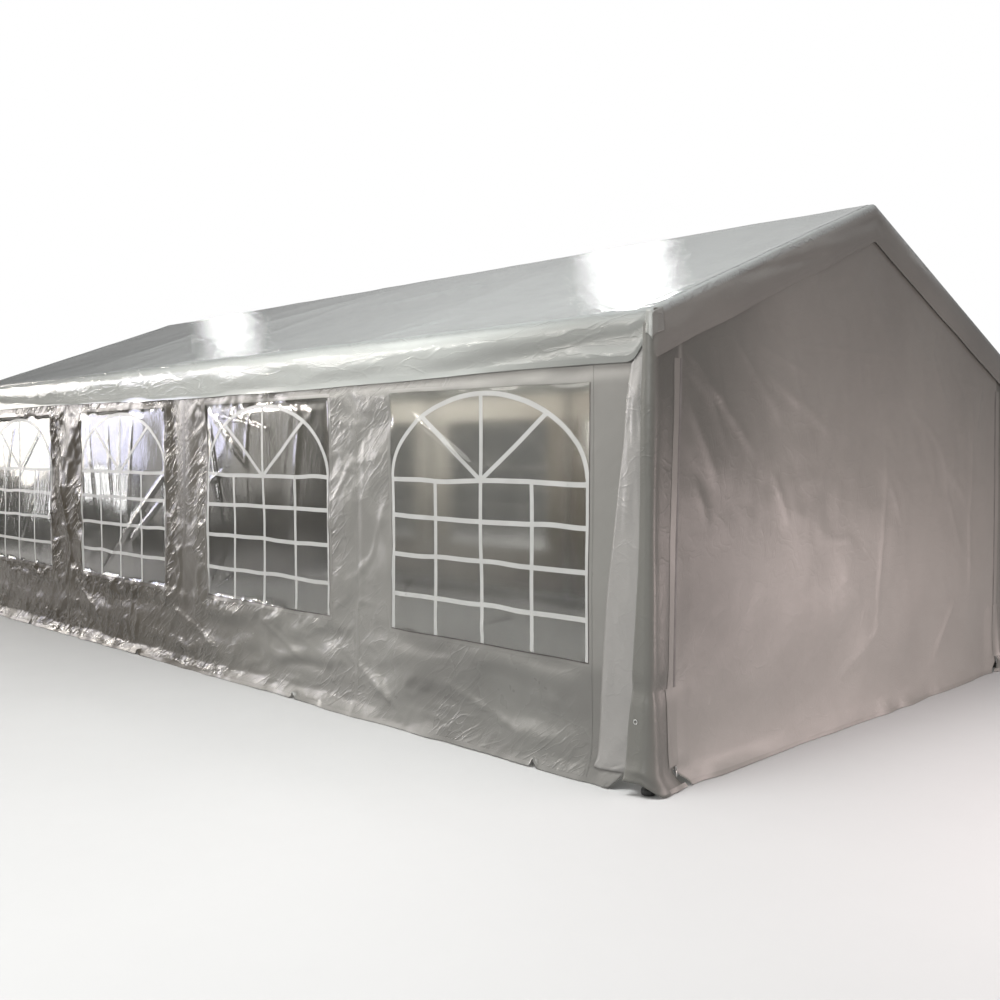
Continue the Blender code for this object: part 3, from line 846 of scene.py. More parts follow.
# Folds of each film: start and end as (share across, share up), width, height.
# Across runs from the near end of the photographed wall to its far end.
FILM_FOLDS = (
    (((0.89, 0.92), (0.50, 0.67), 0.013, 0.013), ((0.30, 0.12), (0.62, 0.02), 0.04, 0.006),
     ((0.88, 0.22), (0.99, 0.02), 0.016, 0.006), ((0.05, 0.95), (0.12, 0.45), 0.03, 0.005)),
    (((0.98, 0.99), (0.60, 0.66), 0.015, 0.007), ((0.99, 0.98), (0.83, 0.36), 0.015, 0.007),
     ((0.97, 0.97), (0.40, 0.85), 0.015, 0.005), ((1.00, 0.00), (0.96, 0.24), 0.012, 0.006),
     ((1.00, 0.00), (0.86, 0.20), 0.012, 0.006), ((0.98, 0.00), (0.74, 0.13), 0.012, 0.006),
     ((0.90, 0.00), (0.82, 0.26), 0.010, 0.005), ((0.99, 0.60), (0.84, 0.66), 0.014, 0.006),
     ((0.60, 0.97), (0.66, 0.62), 0.014, 0.003), ((0.20, 0.95), (0.30, 0.30), 0.03, 0.005)),
    (((-0.10, 0.72), (0.86, -0.08), 0.013, 0.014), ((0.02, 0.50), (0.40, 0.22), 0.012, 0.008),
     ((0.90, 0.98), (0.80, 0.30), 0.014, 0.005), ((0.65, 0.98), (0.60, 0.45), 0.014, 0.005),
     ((0.35, 0.96), (0.40, 0.35), 0.014, 0.004)),
    (((0.10, 0.95), (0.55, 0.55), 0.016, 0.006), ((0.55, 0.98), (0.80, 0.40), 0.016, 0.006),
     ((0.90, 0.95), (0.95, 0.20), 0.016, 0.006), ((0.20, 0.50), (0.55, 0.05), 0.016, 0.006)),
)
FILM_OVERLAP = 0.015


def make_film(name, number, wall, mirror):
    """A clear window. It hangs behind the wall's opening and is welded to it all round."""
    low, high = WINDOW_BOXES[number - 1]
    base = SKIRT_FLAT - SKIRT_HEIGHT
    y_lines = lines(FILM_STEP, low.y - FILM_OVERLAP, high.y + FILM_OVERLAP)
    u_lines = lines(FILM_STEP, low.z - FILM_OVERLAP + base, high.z + FILM_OVERLAP + base)
    Y, U = np.meshgrid(y_lines, u_lines, indexing="ij")
    points = wall.at(Y, U, -CLOTH - 0.0006)

    photo_side = mirror < 0
    across = (Y - low.y) / (high.y - low.y)
    order = number if photo_side else BAYS + 1 - number
    if not photo_side:
        across = 1 - across
    up = (U - base - SILL) / (HEAD - SILL)
    wild = (0.15, 0.6, 0.8, 1.0)[order - 1]
    seed = 10 * number + (0 if photo_side else 200)
    inside = ramp(0.0, 0.07, -window_distance(Y, U - base))
    wave = 0.005 * swell(Y, U, 0.55, 41 + seed) + wild * 0.0014 * facets(Y, U, 0.22, 42 + seed)
    wave += wild * 0.0022 * creases(Y + 0.15 * U, 0.20 * U, 0.22, 0.016, 43 + seed)
    width, height = high.y - low.y, HEAD - SILL
    for start, end, spread, depth in FILM_FOLDS[order - 1]:
        wave += fold(across * width, up * height, (start[0] * width, start[1] * height),
                     (end[0] * width, end[1] * height), spread, depth)
    points[..., 0] += mirror * inside * np.clip(wave, -0.014, 0.03)
    sheet = Sheet(y_lines, u_lines, points, mirror)
    piece = cloth(name, sheet, clear_film, crumple=np.full(Y.shape, wild), thickness=FILM)
    return piece, sheet, (y_lines[-1] - y_lines[0], u_lines[-1] - u_lines[0])


# Printed glazing bars
BAR_WIDTH = 0.024
BAR_ROWS = (1.345, 1.150, 0.946, 0.729)
ARCH_CROWN = 1.777
ARCH_INSET = 0.012


def make_bars(name, number, film, mirror):
    low, high = WINDOW_BOXES[number - 1]
    base = SKIRT_FLAT - SKIRT_HEIGHT
    middle = (low.y + high.y) / 2
    half = (high.y - low.y) / 2 - ARCH_INSET
    spring, sill = BAR_ROWS[0], SILL + 0.006
    rise = ARCH_CROWN - spring
    runs = [[(-half, z), (half, z)] for z in BAR_ROWS]
    runs += [[(share * half, spring), (share * half, sill)] for share in (-1, -0.5, 0, 0.5, 1)]
    turns = np.linspace(0, math.pi, 60)
    runs.append([(-half * math.cos(a), spring + rise * math.sin(a)) for a in turns])
    for a in (math.radians(50), math.radians(90), math.radians(130)):
        runs.append([(0, spring), (half * math.cos(a), spring + rise * math.sin(a))])
    parts = []
    for order, run in enumerate(runs):
        path = walk([(middle + y, z + base) for y, z in run], 0.014)
        seed = 60 + number + (0 if mirror < 0 else 9)
        wobble = 0.005 * np.stack([swell(path[:, 0], path[:, 1], 0.21, seed),
                                   swell(path[:, 0], path[:, 1], 0.19, seed + 5)], axis=1)
        parts.append(band(film, path + wobble, BAR_WIDTH, 0.0003 + 0.00006 * order, 0.0003, 2))
    return bands(name, parts, white_print)


# The gable walls
def zip_x(z):
    return ZIP_LOW_X + (ZIP_TOP_X - ZIP_LOW_X) * np.clip(z, 0, 2) / 2.0


# Folds of the front gable: start and end as (x, z), width, height
GABLE_FOLDS = (
    ((-1.80, 1.98), (-1.47, 1.70), 0.05, 0.008),
    ((-1.62, 1.84), (-1.16, 1.46), 0.04, 0.008),
    ((-1.42, 2.06), (-0.92, 1.64), 0.05, 0.007),
    ((-1.12, 1.90), (-0.72, 1.70), 0.04, 0.007),
    ((-0.88, 1.80), (-0.40, 1.56), 0.05, 0.006),
    ((-1.77, 1.76), (-1.48, 1.30), 0.04, 0.007),
    ((-1.56, 2.02), (-1.44, 1.60), 0.03, 0.005),
    ((-1.20, 2.02), (-0.60, 1.86), 0.04, 0.005),
    ((-0.86, 2.034), (0.56, 2.04), 0.012, 0.004),
    ((0.21, 1.60), (0.07, 0.36), 0.03, 0.0035),
    ((-1.80, 1.105), (-1.45, 1.085), 0.02, 0.003),
    ((-0.62, 1.03), (-0.20, 1.015), 0.02, 0.003),
    ((-1.71, 1.40), (-1.55, 1.12), 0.03, 0.006),
    ((-1.02, 1.40), (-0.85, 1.10), 0.03, 0.006),
    ((-0.03, 2.04), (0.04, 1.80), 0.02, 0.004),
    ((-0.14, 2.02), (-0.08, 1.82), 0.02, 0.004),
    ((1.18, 0.56), (0.84, 0.20), 0.04, 0.006),
    ((-0.40, 0.22), (0.22, 0.54), 0.06, 0.003),
    ((1.66, 2.10), (1.42, 1.50), 0.05, 0.006),
    ((1.42, 2.0), (1.40, 0.4), 0.03, 0.005),
)


def gable_bulge(x, z, mirror):
    """How far a gable wall stands out at (x, z). mirror is -1 in front and 1 at the back."""
    seed = 0 if mirror < 0 else 300
    upper = ramp(0.7, 1.5, z)
    bulge = 0.016 * swell(x, z, 0.95, 71 + seed) + 0.005 * swell(x, z, 0.34, 72 + seed)
    bulge += (0.3 + 0.7 * upper) * (0.0045 * facets(x + 0.3 * z, z, 0.26, 73 + seed) + 0.0028 * facets(x, z, 0.11, 74 + seed))
    bulge += (0.25 + 0.75 * upper) * 0.0045 * creases(0.8 * x + 0.55 * z, 0.5 * z, 0.24, 0.026, 79 + seed)
    for start, end, width, height in GABLE_FOLDS:
        if mirror > 0:
            start, end = (-start[0], start[1]), (-end[0], end[1])
        bulge += fold(x, z, start, end, width, height)
    return bulge


def make_gable(name, mirror):
    middle_edge = ZIP_LOW_X
    stops = [-GABLE_FLAT, -LEG_X - WRAP_ARC, -LEG_X, -middle_edge, middle_edge, LEG_X, LEG_X + WRAP_ARC, GABLE_FLAT]
    steps = [0.010, 0.007, GABLE_STEP, GABLE_STEP, GABLE_STEP, 0.007, 0.010]
    a_lines = np.unique(np.concatenate([lines(st, lo, hi) for st, lo, hi in zip(steps, stops[:-1], stops[1:])]).round(6))
    base = SKIRT_FLAT - SKIRT_HEIGHT
    bend = 1.88
    top_middle = RIDGE_Z - 0.008
    u_lines = lines(GABLE_STEP, 0, SKIRT_FLAT, bend + base, top_middle + base)
    A, U = np.meshgrid(a_lines, u_lines, indexing="ij")

    # In plan the sheet runs straight and then turns round the corner leg
    turn = np.clip(np.abs(A) - LEG_X, 0, WRAP_ARC) / WRAP_ROUND
    past = np.clip(np.abs(A) - LEG_X - WRAP_ARC, 0, None) * np.interp(U, [0.3, 1.0, 1.9], [0.95, 0.42, 0.2])

    crease = SKIRT_HEIGHT * (0.90 + 0.12 * swell(A, U * 0, 0.6, 75))
    flare, z = skirt_profile(U, crease, 1.0)
    rise = ramp(SKIRT_FLAT, SKIRT_FLAT + 0.35, U)
    z = z * (1 - rise) + (U - base) * rise
    roof_line = RIDGE_Z - 0.008 - SLOPE * np.minimum(np.abs(A), LEG_X)
    squeeze = np.clip((z - bend) / (top_middle - bend), 0, None)
    z = np.where(z > bend, bend + squeeze * (roof_line - bend), z)

    # Round the corner the hem is cut up, clear of the foot
    lifted = 0.060 * np.interp(np.abs(A), [1.992, 2.028], [0, 1]) * ramp(SKIRT_FLAT + 0.10, 0, U)
    z = z + lifted

    x_here = np.sign(A) * np.minimum(np.abs(A), LEG_X)
    bulge = gable_bulge(x_here, z, mirror)
    zip_gap = np.abs(x_here) - zip_x(z)
    bulge *= 0.25 + 0.75 * ramp(0.0, 0.16, np.abs(zip_gap)) * (zip_gap < 0)
    corner = ramp(-0.01, 0.09, zip_gap)
    bulge += corner * (0.007 + 0.010 * np.clip(swell(A * 2.2, z, 0.42, 76), -0.4, 1)) * ramp(2.0, 1.7, z)
    tie = np.exp(-((z - 0.46) / 0.045) ** 2)
    bulge -= 0.010 * corner * tie
    bulge += 0.012 * corner * ramp(0.44, 0.20, z)
    bulge += 0.006 * ramp(0.10, 0.0, np.abs(zip_gap + 0.05)) * ramp(0.5, 0.40, z) * ramp(0.08, 0.14, z)
    bulge = np.where(z > roof_line - 0.26, np.minimum(bulge, 0.0065), bulge)
    bulge = np.maximum(bulge, -0.002 - 0.012 * ramp(0.10, 0.4, LEG_X - np.abs(x_here)) * ramp(0.25, 0.45, roof_line - z))
    bulge += 0.012 * swell(A, z, 0.15, 77) * ramp(SKIRT_FLAT, 0, U) * 0.6
    out = bulge + flare * (1 + 0.15 * swell(A, U * 0, 0.25, 78))

    front = WALL_Y - LEG_Y
    radius = front + (WRAP_ROUND - front) * ramp(0, 0.06, np.abs(A) - LEG_X + 0.03) + out
    x = np.where(np.abs(A) <= LEG_X, np.abs(A), LEG_X + radius * np.sin(turn))
    y = LEG_Y + radius * np.cos(turn) - past

    # The skirt is slit at each zip and its two sides drift apart
    slit = ramp(SKIRT_FLAT, 0, U)
    x = x - np.where(np.abs(A) <= middle_edge, 0.105, 0.060) * slit * ramp(0.35, 0.0, np.abs(np.abs(A) - middle_edge))
    points = np.stack([np.sign(A) * x, mirror * y, z], axis=-1)
    sheet = Sheet(a_lines, u_lines, points, -mirror)
    middle_a, middle_u = (a_lines[1:] + a_lines[:-1]) / 2, (u_lines[1:] + u_lines[:-1]) / 2
    MA, MU = np.meshgrid(middle_a, middle_u, indexing="ij")
    above_eave = (np.abs(MA) > LEG_X + 0.5 * WRAP_ARC) & (MU > bend + base + 0.76)
    beside_zip = np.searchsorted(a_lines, [-middle_edge, middle_edge])
    cut = np.zeros(MA.shape, bool)
    cut[beside_zip[0] - 1, :] = True
    cut[beside_zip[1], :] = True
    keep = ~above_eave & ~(cut & (MU < SKIRT_FLAT))
    crumple = np.clip(0.40 + 0.4 * corner, 0, 1)
    # Painted light and shade of the gable: shade on the corner strips and upper left, light low left of middle and on
    # the right, a little pink.
    painted_light_and_shade = -0.48 * ramp(0.0, 0.02, zip_gap) + 0.16 * ramp(-0.03, 0.03, np.abs(A) - LEG_X)
    painted_light_and_shade = painted_light_and_shade - 0.42 * ramp(-0.8, -1.7, A) * ramp(0.1, 0.9, z) * (zip_gap < 0)
    painted_light_and_shade = painted_light_and_shade + 0.22 * ramp(0.9, 0.1, z) * ramp(0.6, -0.4, A) * (zip_gap < 0)
    painted_light_and_shade = painted_light_and_shade + 0.12 * ramp(-0.2, 0.8, A) * ramp(2.2, 1.2, z)
    painted_light_and_shade = painted_light_and_shade[..., None] * np.array((1.0, 0.97, 1.0))
    piece = cloth(name, sheet, gable_cloth, keep, crumple, painted_light_and_shade)
    return piece, sheet, (2 * GABLE_FLAT, top_middle + base), keep


# Bands, seams and hems that are welded on the sheets, and painted shadow lines at the windows
CORNER_BAND = ((0.035, 3.708), (0.40, 3.728), (0.834, 3.762), (1.544, 3.852), (1.716, 3.867), (1.878, 3.893),
               (1.990, 3.962))


def make_corner_band(name, wall, mirror, end):
    """The double strip at the end of a side wall. It widens to the foot and bulges a little."""
    base = SKIRT_FLAT - SKIRT_HEIGHT
    heights, edges = np.array(CORNER_BAND).T
    p_lines = np.linspace(0, 1, 17)
    z_lines = np.linspace(0.088, 1.99, 126)
    P, Z = np.meshgrid(p_lines, z_lines, indexing="ij")
    edge = np.interp(Z, heights, edges)
    flat_y = edge + (LEG_Y + 0.008 - edge) * P
    points = wall.at(end * flat_y, Z + base, 0.003)
    puff = 0.011 * np.sin(math.pi * P) ** 0.8 * (0.6 + 0.4 * swell(P, Z, 0.7, 81))
    puff += 0.010 * np.exp(-((Z - 1.76) / 0.10) ** 2) * ramp(0, 0.3, P)
    puff += 0.004 * facets(P * 0.3, 0.35 * Z, 0.05, 82) * ramp(0.0, 0.2, P)
    puff = puff * ramp(2.02, 1.86, Z) + 0.0015
    points[..., 0] += mirror * puff
    up_flat = Z[0] + base
    sheet = Sheet(p_lines * 0.2, up_flat, points, mirror * -end)
    if sheet.normals[8, 60, 0] * mirror < 0:
        sheet = Sheet(p_lines * 0.2, up_flat, points, mirror * end)
    piece = cloth(name, sheet, band_cloth, crumple=np.full(P.shape, 0.6))
    return piece


def wall_trims(word, wall, mirror):
    """Weld seams, the hem and the raised border of each window, with a painted shadow line at its sill and near jamb.
    """
    base = SKIRT_FLAT - SKIRT_HEIGHT
    top = WALL_TOP + base - 0.03
    parts = []
    for order, y in enumerate(SEAM_YS):
        wobble = [(-mirror * y + 0.012 * math.sin(3.1 * k + order), 0.02 + (top - 0.02) * k / 24) for k in range(25)]
        parts.append(band(wall, walk(wobble, 0.016), 0.030, 0.0002, 0.0004))
    for y in (-mirror * -3.668, mirror * -3.668):
        parts.append(band(wall, walk([(y, 0.02), (y, top)], 0.016), 0.012, 0.0003, 0.0010))
    hem = LEG_Y - 0.02
    parts.append(band(wall, walk([(-hem, 0.014), (hem, 0.014)], 0.016), 0.024, 0.0003, 0.0010))
    dark = []
    for low, high in WINDOW_BOXES:
        out = 0.012
        corners = [(low.y - out, low.z - out + base), (high.y + out, low.z - out + base),
                   (high.y + out, high.z + out + base), (low.y - out, high.z + out + base)]
        for start, end in zip(corners, corners[1:] + corners[:1]):
            parts.append(band(wall, walk([start, end], 0.016), 0.020, 0.0002, 0.0005))
        # Painted shadow: a dark line along the sill and the near jamb, where the cut edge casts shade.
        near = low.y if mirror < 0 else high.y
        far = high.y if mirror < 0 else low.y
        dark.append(band(wall, walk([(far, low.z + base), (near, low.z + base), (near, high.z + base)], 0.014),
                         0.0045, 0.0012, 0.0008, 2))
    # The seams carry the wall's painted light and shade.
    seams = bands(f"side_trims_{word}", parts, side_cloth, lambda spots: side_painted_light(-mirror * spots[:, 1], spots[:, 2]))
    edges = bands(f"window_edge_shadows_{word}", dark, painted_edge_shadow)
    return [seams, edges]


def roof_trims(roof):
    """Hems of the four valances and the lap along each rake."""
    parts, ends, laps = [], [], []
    hem_s = EAVE_FLAT + SIDE_HANG - 0.014
    hem_t = RAKE_FLAT + GABLE_HANG - 0.014
    for side in (-1, 1):
        reach = RAKE_FLAT - 0.006
        parts.append(band(roof, walk([(side * hem_s, -reach), (side * hem_s, reach)], 0.02), 0.026, 0.0002, 0.0006))
        reach = EAVE_FLAT - 0.01
        ends.append(band(roof, walk([(-reach, side * hem_t), (reach, side * hem_t)], 0.02), 0.026, 0.0001, 0.0003))
        lap = RAKE_START - 0.045
        laps.append(band(roof, walk([(-reach, side * lap), (reach, side * lap)], 0.02), 0.050, 0.0002, 0.0010))
    # The hems carry the valances' painted light and shade, the side hems with a little more painted shade.
    pieces = [bands("side_valance_hems", parts, roof_cloth,
                    lambda spots: valance_painted_light(np.where(spots[:, 0] < 0, spots[:, 1], -spots[:, 1])) - 0.10),
              bands("end_valance_hems", ends, roof_cloth, lambda spots: spots * 0 + END_VALANCE_PAINTED_SHADE),
              bands("rake_laps", laps, roof_cloth)]
    return pieces


def make_corner_patch(name, roof, side, end):
    """Doubled cloth round a corner of the roof, from the end valance to the side valance."""
    across = np.linspace(0.086, -0.050, 35)
    hang = np.linspace(0, 0.100, 22)
    A, Q = np.meshgrid(across, hang, indexing="ij")
    past = np.clip(-A, 0, None)
    start = -0.014
    on_end = roof.at(side * (EAVE_FLAT - np.clip(A, 0, None)), end * (RAKE_FLAT + start + Q))
    cut = valance_cut(END_Y - past)
    reach = np.minimum(EAVE_FLAT + start + Q / cut, EAVE_FLAT + SIDE_HANG)
    on_side = roof.at(side * reach, end * (RAKE_FLAT - past))
    share = ramp(0.006, -0.006, A)[..., None]
    points = on_end * (1 - share) + on_side * share
    lift = 0.0030 + 0.0010 * swell(A, Q, 0.03, 91)
    points[..., 0] += side * lift * ramp(0.03, 0.0, A)
    points[..., 1] += end * lift * ramp(-0.03, 0.0, A)
    points[..., 2] += 0.7 * lift * ramp(0.020, 0.0, Q)
    sheet = Sheet(-across, -hang, points, 1)
    if sheet.normals[20, 16] @ (side, end, 0) < 0:
        sheet = Sheet(-across, -hang, points, -1)
    # Painted light on the part over the side valance, a little warm; the end valances' painted shade on the part over
    # the end.
    painted_light_and_shade = ramp(0.02, -0.02, A)[..., None] * np.array((0.14, 0.10, 0.06))
    painted_light_and_shade = painted_light_and_shade + ramp(-0.02, 0.02, A)[..., None] * 0.80 * END_VALANCE_PAINTED_SHADE
    piece = cloth(name, sheet, roof_cloth, crumple=np.full(A.shape, 0.3), painted_light_and_shade=painted_light_and_shade)
    return piece


def gable_trims(word, wall):
    """Zip tapes, their cover flaps and patches, the top seam and the hem."""
    base = SKIRT_FLAT - SKIRT_HEIGHT
    tapes, flaps, coils = [], [], []
    for side in (-1, 1):
        heights = np.linspace(0.112, 1.95, 60)
        line = np.stack([side * zip_x(heights), heights + base], axis=1)
        tapes.append(band(wall, walk(line, 0.014), 0.030, 0.0002, 0.0004))
        coils.append(band(wall, walk(line, 0.014), 0.0045, 0.0005, 0.0013, 2))
        aside = line + (side * 0.022, 0)
        flaps.append(band(wall, walk(aside, 0.014), 0.046, 0.0009, 0.0005))
        patch = walk([(side * 1.853, 0.114 + base), (side * 1.853, 0.453 + base)], 0.014)
        flaps.append(band(wall, patch, 0.080, 0.0016, 0.0005, 6))
    hem = ZIP_LOW_X - 0.01
    edges = [((-hem, 0.014), (hem, 0.014)), ((-LEG_X + 0.01, 0.014), (-hem - 0.02, 0.014)),
             ((hem + 0.02, 0.014), (LEG_X - 0.01, 0.014))]
    for start, end in edges:
        flaps.append(band(wall, walk([start, end], 0.016), 0.024, 0.0002, 0.0005))
    flaps.append(band(wall, walk([(-0.84, 2.034 + base), (0.56, 2.040 + base)], 0.016), 0.014, 0.0001, 0.0003))
    pieces = [bands(f"zip_tapes_{word}", tapes, zip_tape), bands(f"zip_coils_{word}", coils, zip_coil),
              bands(f"gable_trims_{word}", flaps, gable_cloth)]
    return pieces


# Metal fittings
def fitting(name, place, turn, material):
    """Bakes the active object's place into its mesh and lets it move with the tent."""
    piece = bpy.context.object
    piece.name = piece.data.name = name
    piece.rotation_euler = (0, 0, turn)
    piece.location = place
    bpy.ops.object.transform_apply(location=True, rotation=True, scale=True)
    bpy.ops.object.shade_smooth_by_angle(angle=math.radians(35))
    piece.data.materials.clear()
    piece.data.materials.append(material)
    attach(piece, "root")
    return piece


def zip_slider(name, place, turn):
    """A cast slider that narrows downwards, with its bridge and a hanging pull tab."""
    bpy.ops.object.select_all(action="DESELECT")
    bpy.ops.mesh.primitive_cube_add(size=1, scale=(0.011, 0.0055, 0.015))
    bpy.ops.object.transform_apply(scale=True)
    bpy.ops.object.mode_set(mode="EDIT")
    mesh = bmesh.from_edit_mesh(bpy.context.object.data)
    for corner in mesh.verts:
        corner.select_set(corner.co.z < 0)
    mesh.select_flush_mode()
    bmesh.update_edit_mesh(bpy.context.object.data)
    bpy.ops.transform.resize(value=(0.6, 1, 1))
    bpy.ops.mesh.select_all(action="SELECT")
    bpy.ops.mesh.bevel(offset=0.0011, segments=2)
    bpy.ops.object.mode_set(mode="OBJECT")
    body = bpy.context.object
    bpy.ops.mesh.primitive_torus_add(major_radius=0.0045, minor_radius=0.0010, major_segments=16, minor_segments=6,
                                     location=(0, -0.0030, 0.002), rotation=(0, math.pi / 2, 0))
    bridge = bpy.context.object
    bpy.ops.mesh.primitive_torus_add(major_radius=0.0070, minor_radius=0.0011, major_segments=24, minor_segments=6,
                                     location=(0, -0.0062, -0.0045), rotation=(math.pi / 2, 0, 0))
    ring = bpy.context.object
    bpy.ops.transform.resize(value=(0.62, 1, 1.5))
    bpy.ops.mesh.primitive_cube_add(size=1, scale=(0.0085, 0.0016, 0.024), location=(0, -0.0062, -0.0255))
    bpy.ops.object.transform_apply(scale=True)
    bpy.ops.object.mode_set(mode="EDIT")
    bpy.ops.mesh.bevel(offset=0.0006, segments=2)
    bpy.ops.object.mode_set(mode="OBJECT")
    for part in (body, bridge, ring):
        part.select_set(True)
    bpy.context.view_layer.objects.active = body
    bpy.ops.object.join()
    return fitting(name, place, turn, zip_metal)


def eyelet(name, place, turn):
    """A pressed metal ring round a hole near the edge of a corner flap."""
    bpy.ops.object.select_all(action="DESELECT")
    bpy.ops.mesh.primitive_torus_add(major_radius=0.0095, minor_radius=0.0026, major_segments=32, minor_segments=10,
                                     rotation=(math.pi / 2, 0, 0))
    bpy.ops.object.transform_apply(rotation=True)
    bpy.ops.transform.resize(value=(1, 0.55, 1))
    return fitting(name, place, turn, zip_metal)


roof, roof_grid, roof_flat, roof_area = make_roof()
patches = [make_corner_patch(f"corner_patch_{place}_{word}", roof_grid, side, end)
           for place, end in (("front", -1), ("back", 1)) for word, side in (("left", -1), ("right", 1))]
roof_trims(roof_grid) + patches

for word, mirror in (("left", -1), ("right", 1)):
    wall, grid, flat, area = make_side(f"side_sheet_{word}", mirror)
    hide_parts(f"side_wall_{word}")
    trims = wall_trims(word, grid, mirror)
    for place, end in (("front", -1), ("back", 1)):
        trims.append(make_corner_band(f"corner_band_{place}_{word}", grid, mirror, end))
    for number in range(1, BAYS + 1):
        film, film_grid, film_flat = make_film(f"film_{word}_{number}", number, grid, mirror)
        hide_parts(f"window_{word}_{number}")
        bars = make_bars(f"glazing_bars_{word}_{number}", number, film_grid, mirror)

for word, mirror in (("front", -1), ("back", 1)):
    wall, grid, flat, keep = make_gable(f"gable_sheet_{word}", mirror)
    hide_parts(f"gable_wall_{word}")
    area = sum(polygon.area for polygon in wall.data.polygons) / 2
    trims = gable_trims(word, grid)
    base = SKIRT_FLAT - SKIRT_HEIGHT
    for place, side in (("left", -1), ("right", 1)):
        low = grid.at(side * zip_x(0.105), 0.105 + base, 0.004)
        trims.append(zip_slider(f"zip_slider_{word}_{place}", low, 0 if mirror < 0 else math.pi))
        reach = LEG_X + WRAP_ARC + 0.035
        corner = grid.at(side * reach, 0.325 + base, 0.0012)
        trims.append(eyelet(f"corner_eyelet_{word}_{place}", corner, side * math.pi / 2))

# Finish of the frame that shows through the windows and at the corners
for name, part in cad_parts.items():
    if name.startswith("foot_"):
        finish = black_plastic
    elif name.startswith(("leg_", "rafter_", "eave_rail_", "ground_rail_", "ridge_rail")):
        finish = steel
    else:
        continue
    for place in part.material_slots:
        place.material = finish

# Floor
bpy.ops.object.select_all(action="DESELECT")
bpy.ops.mesh.primitive_circle_add(vertices=96, radius=45, fill_type="NGON", location=(0, 0, 0))
floor = bpy.context.object
floor.name = "floor"
pale_floor = plain_material("pale floor", (0.48, 0.48, 0.48), (0.46, 0.46, 0.46), (0.6, 0.75), 0.6, 0.0002)
floor_nodes, floor_links = pale_floor.node_tree.nodes, pale_floor.node_tree.links
spot = floor_nodes.new("ShaderNodeTexCoord").outputs["Object"]
far_out = node(floor_nodes, "ShaderNodeVectorMath", operation="LENGTH")
floor_links.new(spot, far_out.inputs[0])
fade = node(floor_nodes, "ShaderNodeMapRange", interpolation_type="SMOOTHSTEP")
for socket, value in (("From Min", 7.5), ("From Max", 14.0), ("To Min", 1.0), ("To Max", 0.0)):
    fade.inputs[socket].default_value = value
floor_links.new(far_out.outputs["Value"], fade.inputs["Value"])
floor_links.new(fade.outputs["Result"], floor_nodes["Principled BSDF"].inputs["Alpha"])
floor.data.materials.append(pale_floor)


# Light
HALL_LAMPS = ((-6.5, 10.0, 2.6), (-9.5, 11.0, 3.2), (-11.5, 7.0, 4.6), (-4.2, 12.0, 3.4), (-12.5, 12.0, 4.4),
              (-5.2, 17.0, 5.6), (-14.0, 4.0, 3.4), (-8.0, 8.0, 5.2))


def area_light(name, place, target, size, power, colour=(1, 1, 1)):
    """A soft rectangular lamp at place that faces target."""
    lamp = bpy.data.lights.new(name, "AREA")
    lamp.shape = "RECTANGLE"
    lamp.size, lamp.size_y = size
    lamp.energy = power
    lamp.color = colour
    made = bpy.data.objects.new(name, lamp)
    made.location = place
    made.rotation_euler = (Vector(target) - Vector(place)).to_track_quat("-Z", "Y").to_euler()
    made.visible_camera = False
    bpy.context.scene.collection.objects.link(made)
    return made


area_light("roof lamp near", (5.15, 2.4, 6.0), (5.15, 2.4, 0), (1.0, 1.0), 46)
area_light("roof lamp far", (4.95, 12.4, 6.0), (4.95, 12.4, 0), (0.9, 1.3), 46)
lavender = area_light("far panel left", (-8.2, 13.4, 3.1), (-2.0, 0.5, 1.6), (2.2, 3.8), 144, (0.78, 0.78, 1.0))
lavender.visible_diffuse = False
area_light("far panel right", (-5.5, 13.4, 3.1), (-2.0, 3.0, 1.6), (2.8, 3.8), 170, (1.0, 0.95, 0.88))
area_light("far panel dim", (-10.4, 13.2, 2.4), (-2.0, -0.9, 1.2), (2.2, 4.2), 42, (1.0, 0.97, 0.92))
area_light("low white card", (-7.2, 13.4, 0.8), (-2.0, 1.6, 1.2), (0.9, 0.7), 14)
area_light("side card", (-11.0, 5.5, 5.0), (-2.0, -2.0, 1.0), (6.5, 3.6), 150, (1.0, 0.98, 0.95))
area_light("left panel", (-9.0, -5.5, 3.6), (-2.0, -3.4, 1.2), (3.0, 2.4), 170)
area_light("overhead left", (-4.4, -3.6, 6.6), (-2.4, -2.6, 0.8), (1.6, 3.0), 480, (0.99, 1.0, 0.985))
low_front = area_light("low front panel", (2.0, -7.6, 0.42), (0.0, -4.0, 0.42), (4.4, 0.56), 27, (1.0, 0.82, 0.79))
low_front.data.spread = math.radians(84)
wash = area_light("floor wash", (-0.4, -6.6, 1.6), (-0.4, -5.0, 0.0), (3.4, 0.8), 54, (1.0, 0.84, 0.85))
wash.visible_glossy = False
right = area_light("right panel", (9.0, 2.0, 2.7), (2.0, 0.0, 1.3), (6.0, 3.0), 380)
back = area_light("back panel", (4.5, 10.5, 3.0), (0.6, 4.0, 1.2), (3.4, 2.0), 300)
right.visible_glossy = back.visible_glossy = False
for number, (x, y, z) in enumerate(HALL_LAMPS):
    area_light(f"hall lamp {number + 1}", (x, y, z), (-2.0, 1.5, 1.2), (0.9, 0.3), 84, (1.0, 0.94, 0.87))
for word, side in (("left", -1), ("right", 1)):
    inside = area_light(f"inside lamp {word}", (0, 0, 1.65), (side * 3, 0, 1.9), (7.2, 0.6), 120, (1.0, 0.96, 0.90))
    inside.data.spread = math.radians(100)
    inside.visible_glossy = inside.visible_transmission = False

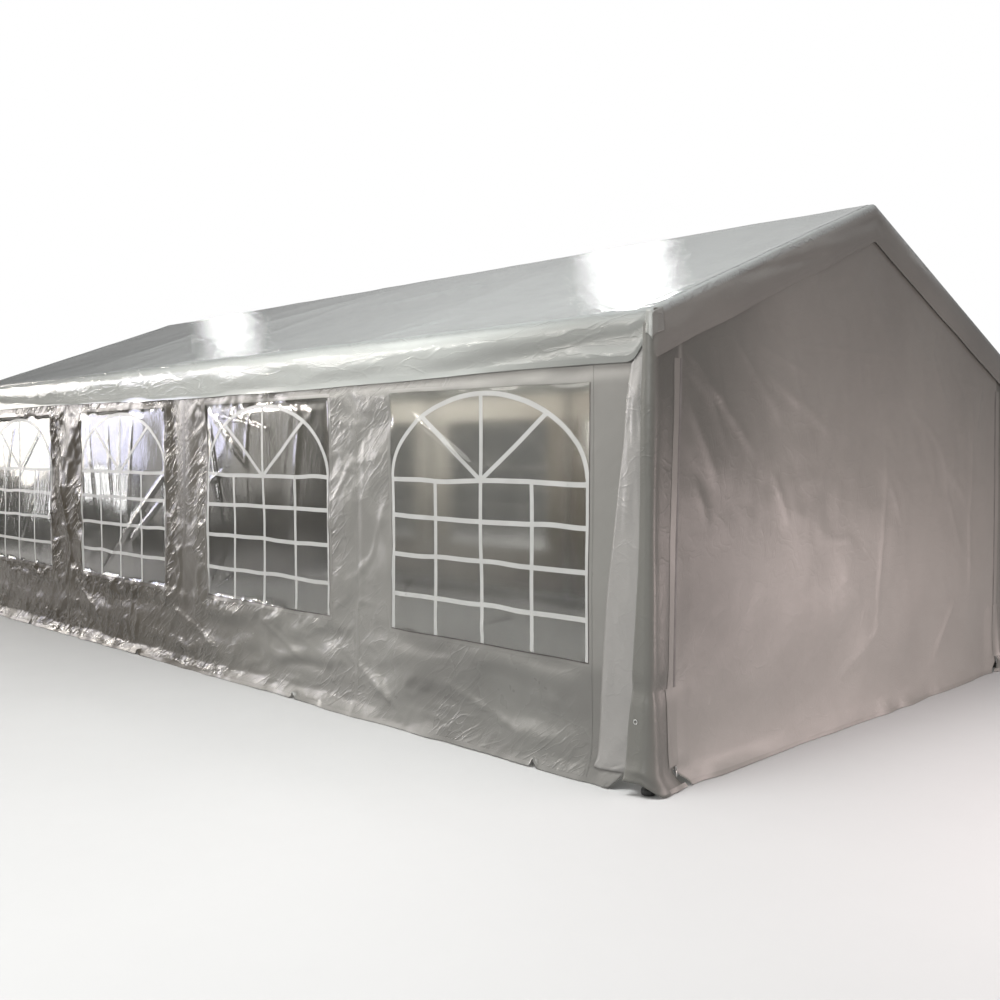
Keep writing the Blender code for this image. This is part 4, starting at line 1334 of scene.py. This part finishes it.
# Soft surroundings: dim at the horizon, brighter overhead and over the far roof slope
world = bpy.data.worlds.new("soft surroundings")
bpy.context.scene.world = world
world.use_nodes = True
sky, sky_links = world.node_tree.nodes, world.node_tree.links
surround = sky["Background"]
toward = sky.new("ShaderNodeTexCoord").outputs["Generated"]
split = sky.new("ShaderNodeSeparateXYZ")
sky_links.new(toward, split.inputs[0])
overhead = maths(sky, sky_links, "MAXIMUM", split.outputs["Z"], 0.0)
left_level = maths(sky, sky_links, "MULTIPLY", overhead, 0.62)
left_level = maths(sky, sky_links, "ADD", left_level, 0.05)
right_level = maths(sky, sky_links, "MULTIPLY", overhead, 6.0)
right_level = maths(sky, sky_links, "SUBTRACT", right_level, 1.16)
right_level = maths(sky, sky_links, "MAXIMUM", right_level, 0.20)
right_level = maths(sky, sky_links, "MINIMUM", right_level, 0.575)
side = node(sky, "ShaderNodeMapRange", interpolation_type="SMOOTHSTEP")
side.inputs["From Min"].default_value, side.inputs["From Max"].default_value = -0.15, 0.25
sky_links.new(split.outputs["X"], side.inputs["Value"])
blend = node(sky, "ShaderNodeMix")
sky_links.new(side.outputs["Result"], blend.inputs["Factor"])
sky_links.new(left_level, blend.inputs["A"])
sky_links.new(right_level, blend.inputs["B"])
shown = sky.new("ShaderNodeLightPath").outputs["Is Camera Ray"]
level = maths(sky, sky_links, "MAXIMUM", blend.outputs["Result"], shown)
sky_links.new(level, surround.inputs["Strength"])
surround.inputs["Color"].default_value = (1, 1, 1, 1)

# Camera at the photograph's place
CAMERA_PLACE = (-5.6862, -6.7919, 1.4873)
CAMERA_YAW, CAMERA_PITCH = 0.7825, -0.0439
camera = bpy.data.objects.new("camera", bpy.data.cameras.new("camera"))
camera.data.lens, camera.data.sensor_width = 38.64, 36.0
camera.data.clip_end = 200
camera.location = CAMERA_PLACE
camera.rotation_euler = (math.pi / 2 + CAMERA_PITCH, 0, -CAMERA_YAW)
bpy.context.scene.collection.objects.link(camera)
bpy.context.scene.camera = camera
bpy.context.scene.view_settings.view_transform = "Standard"
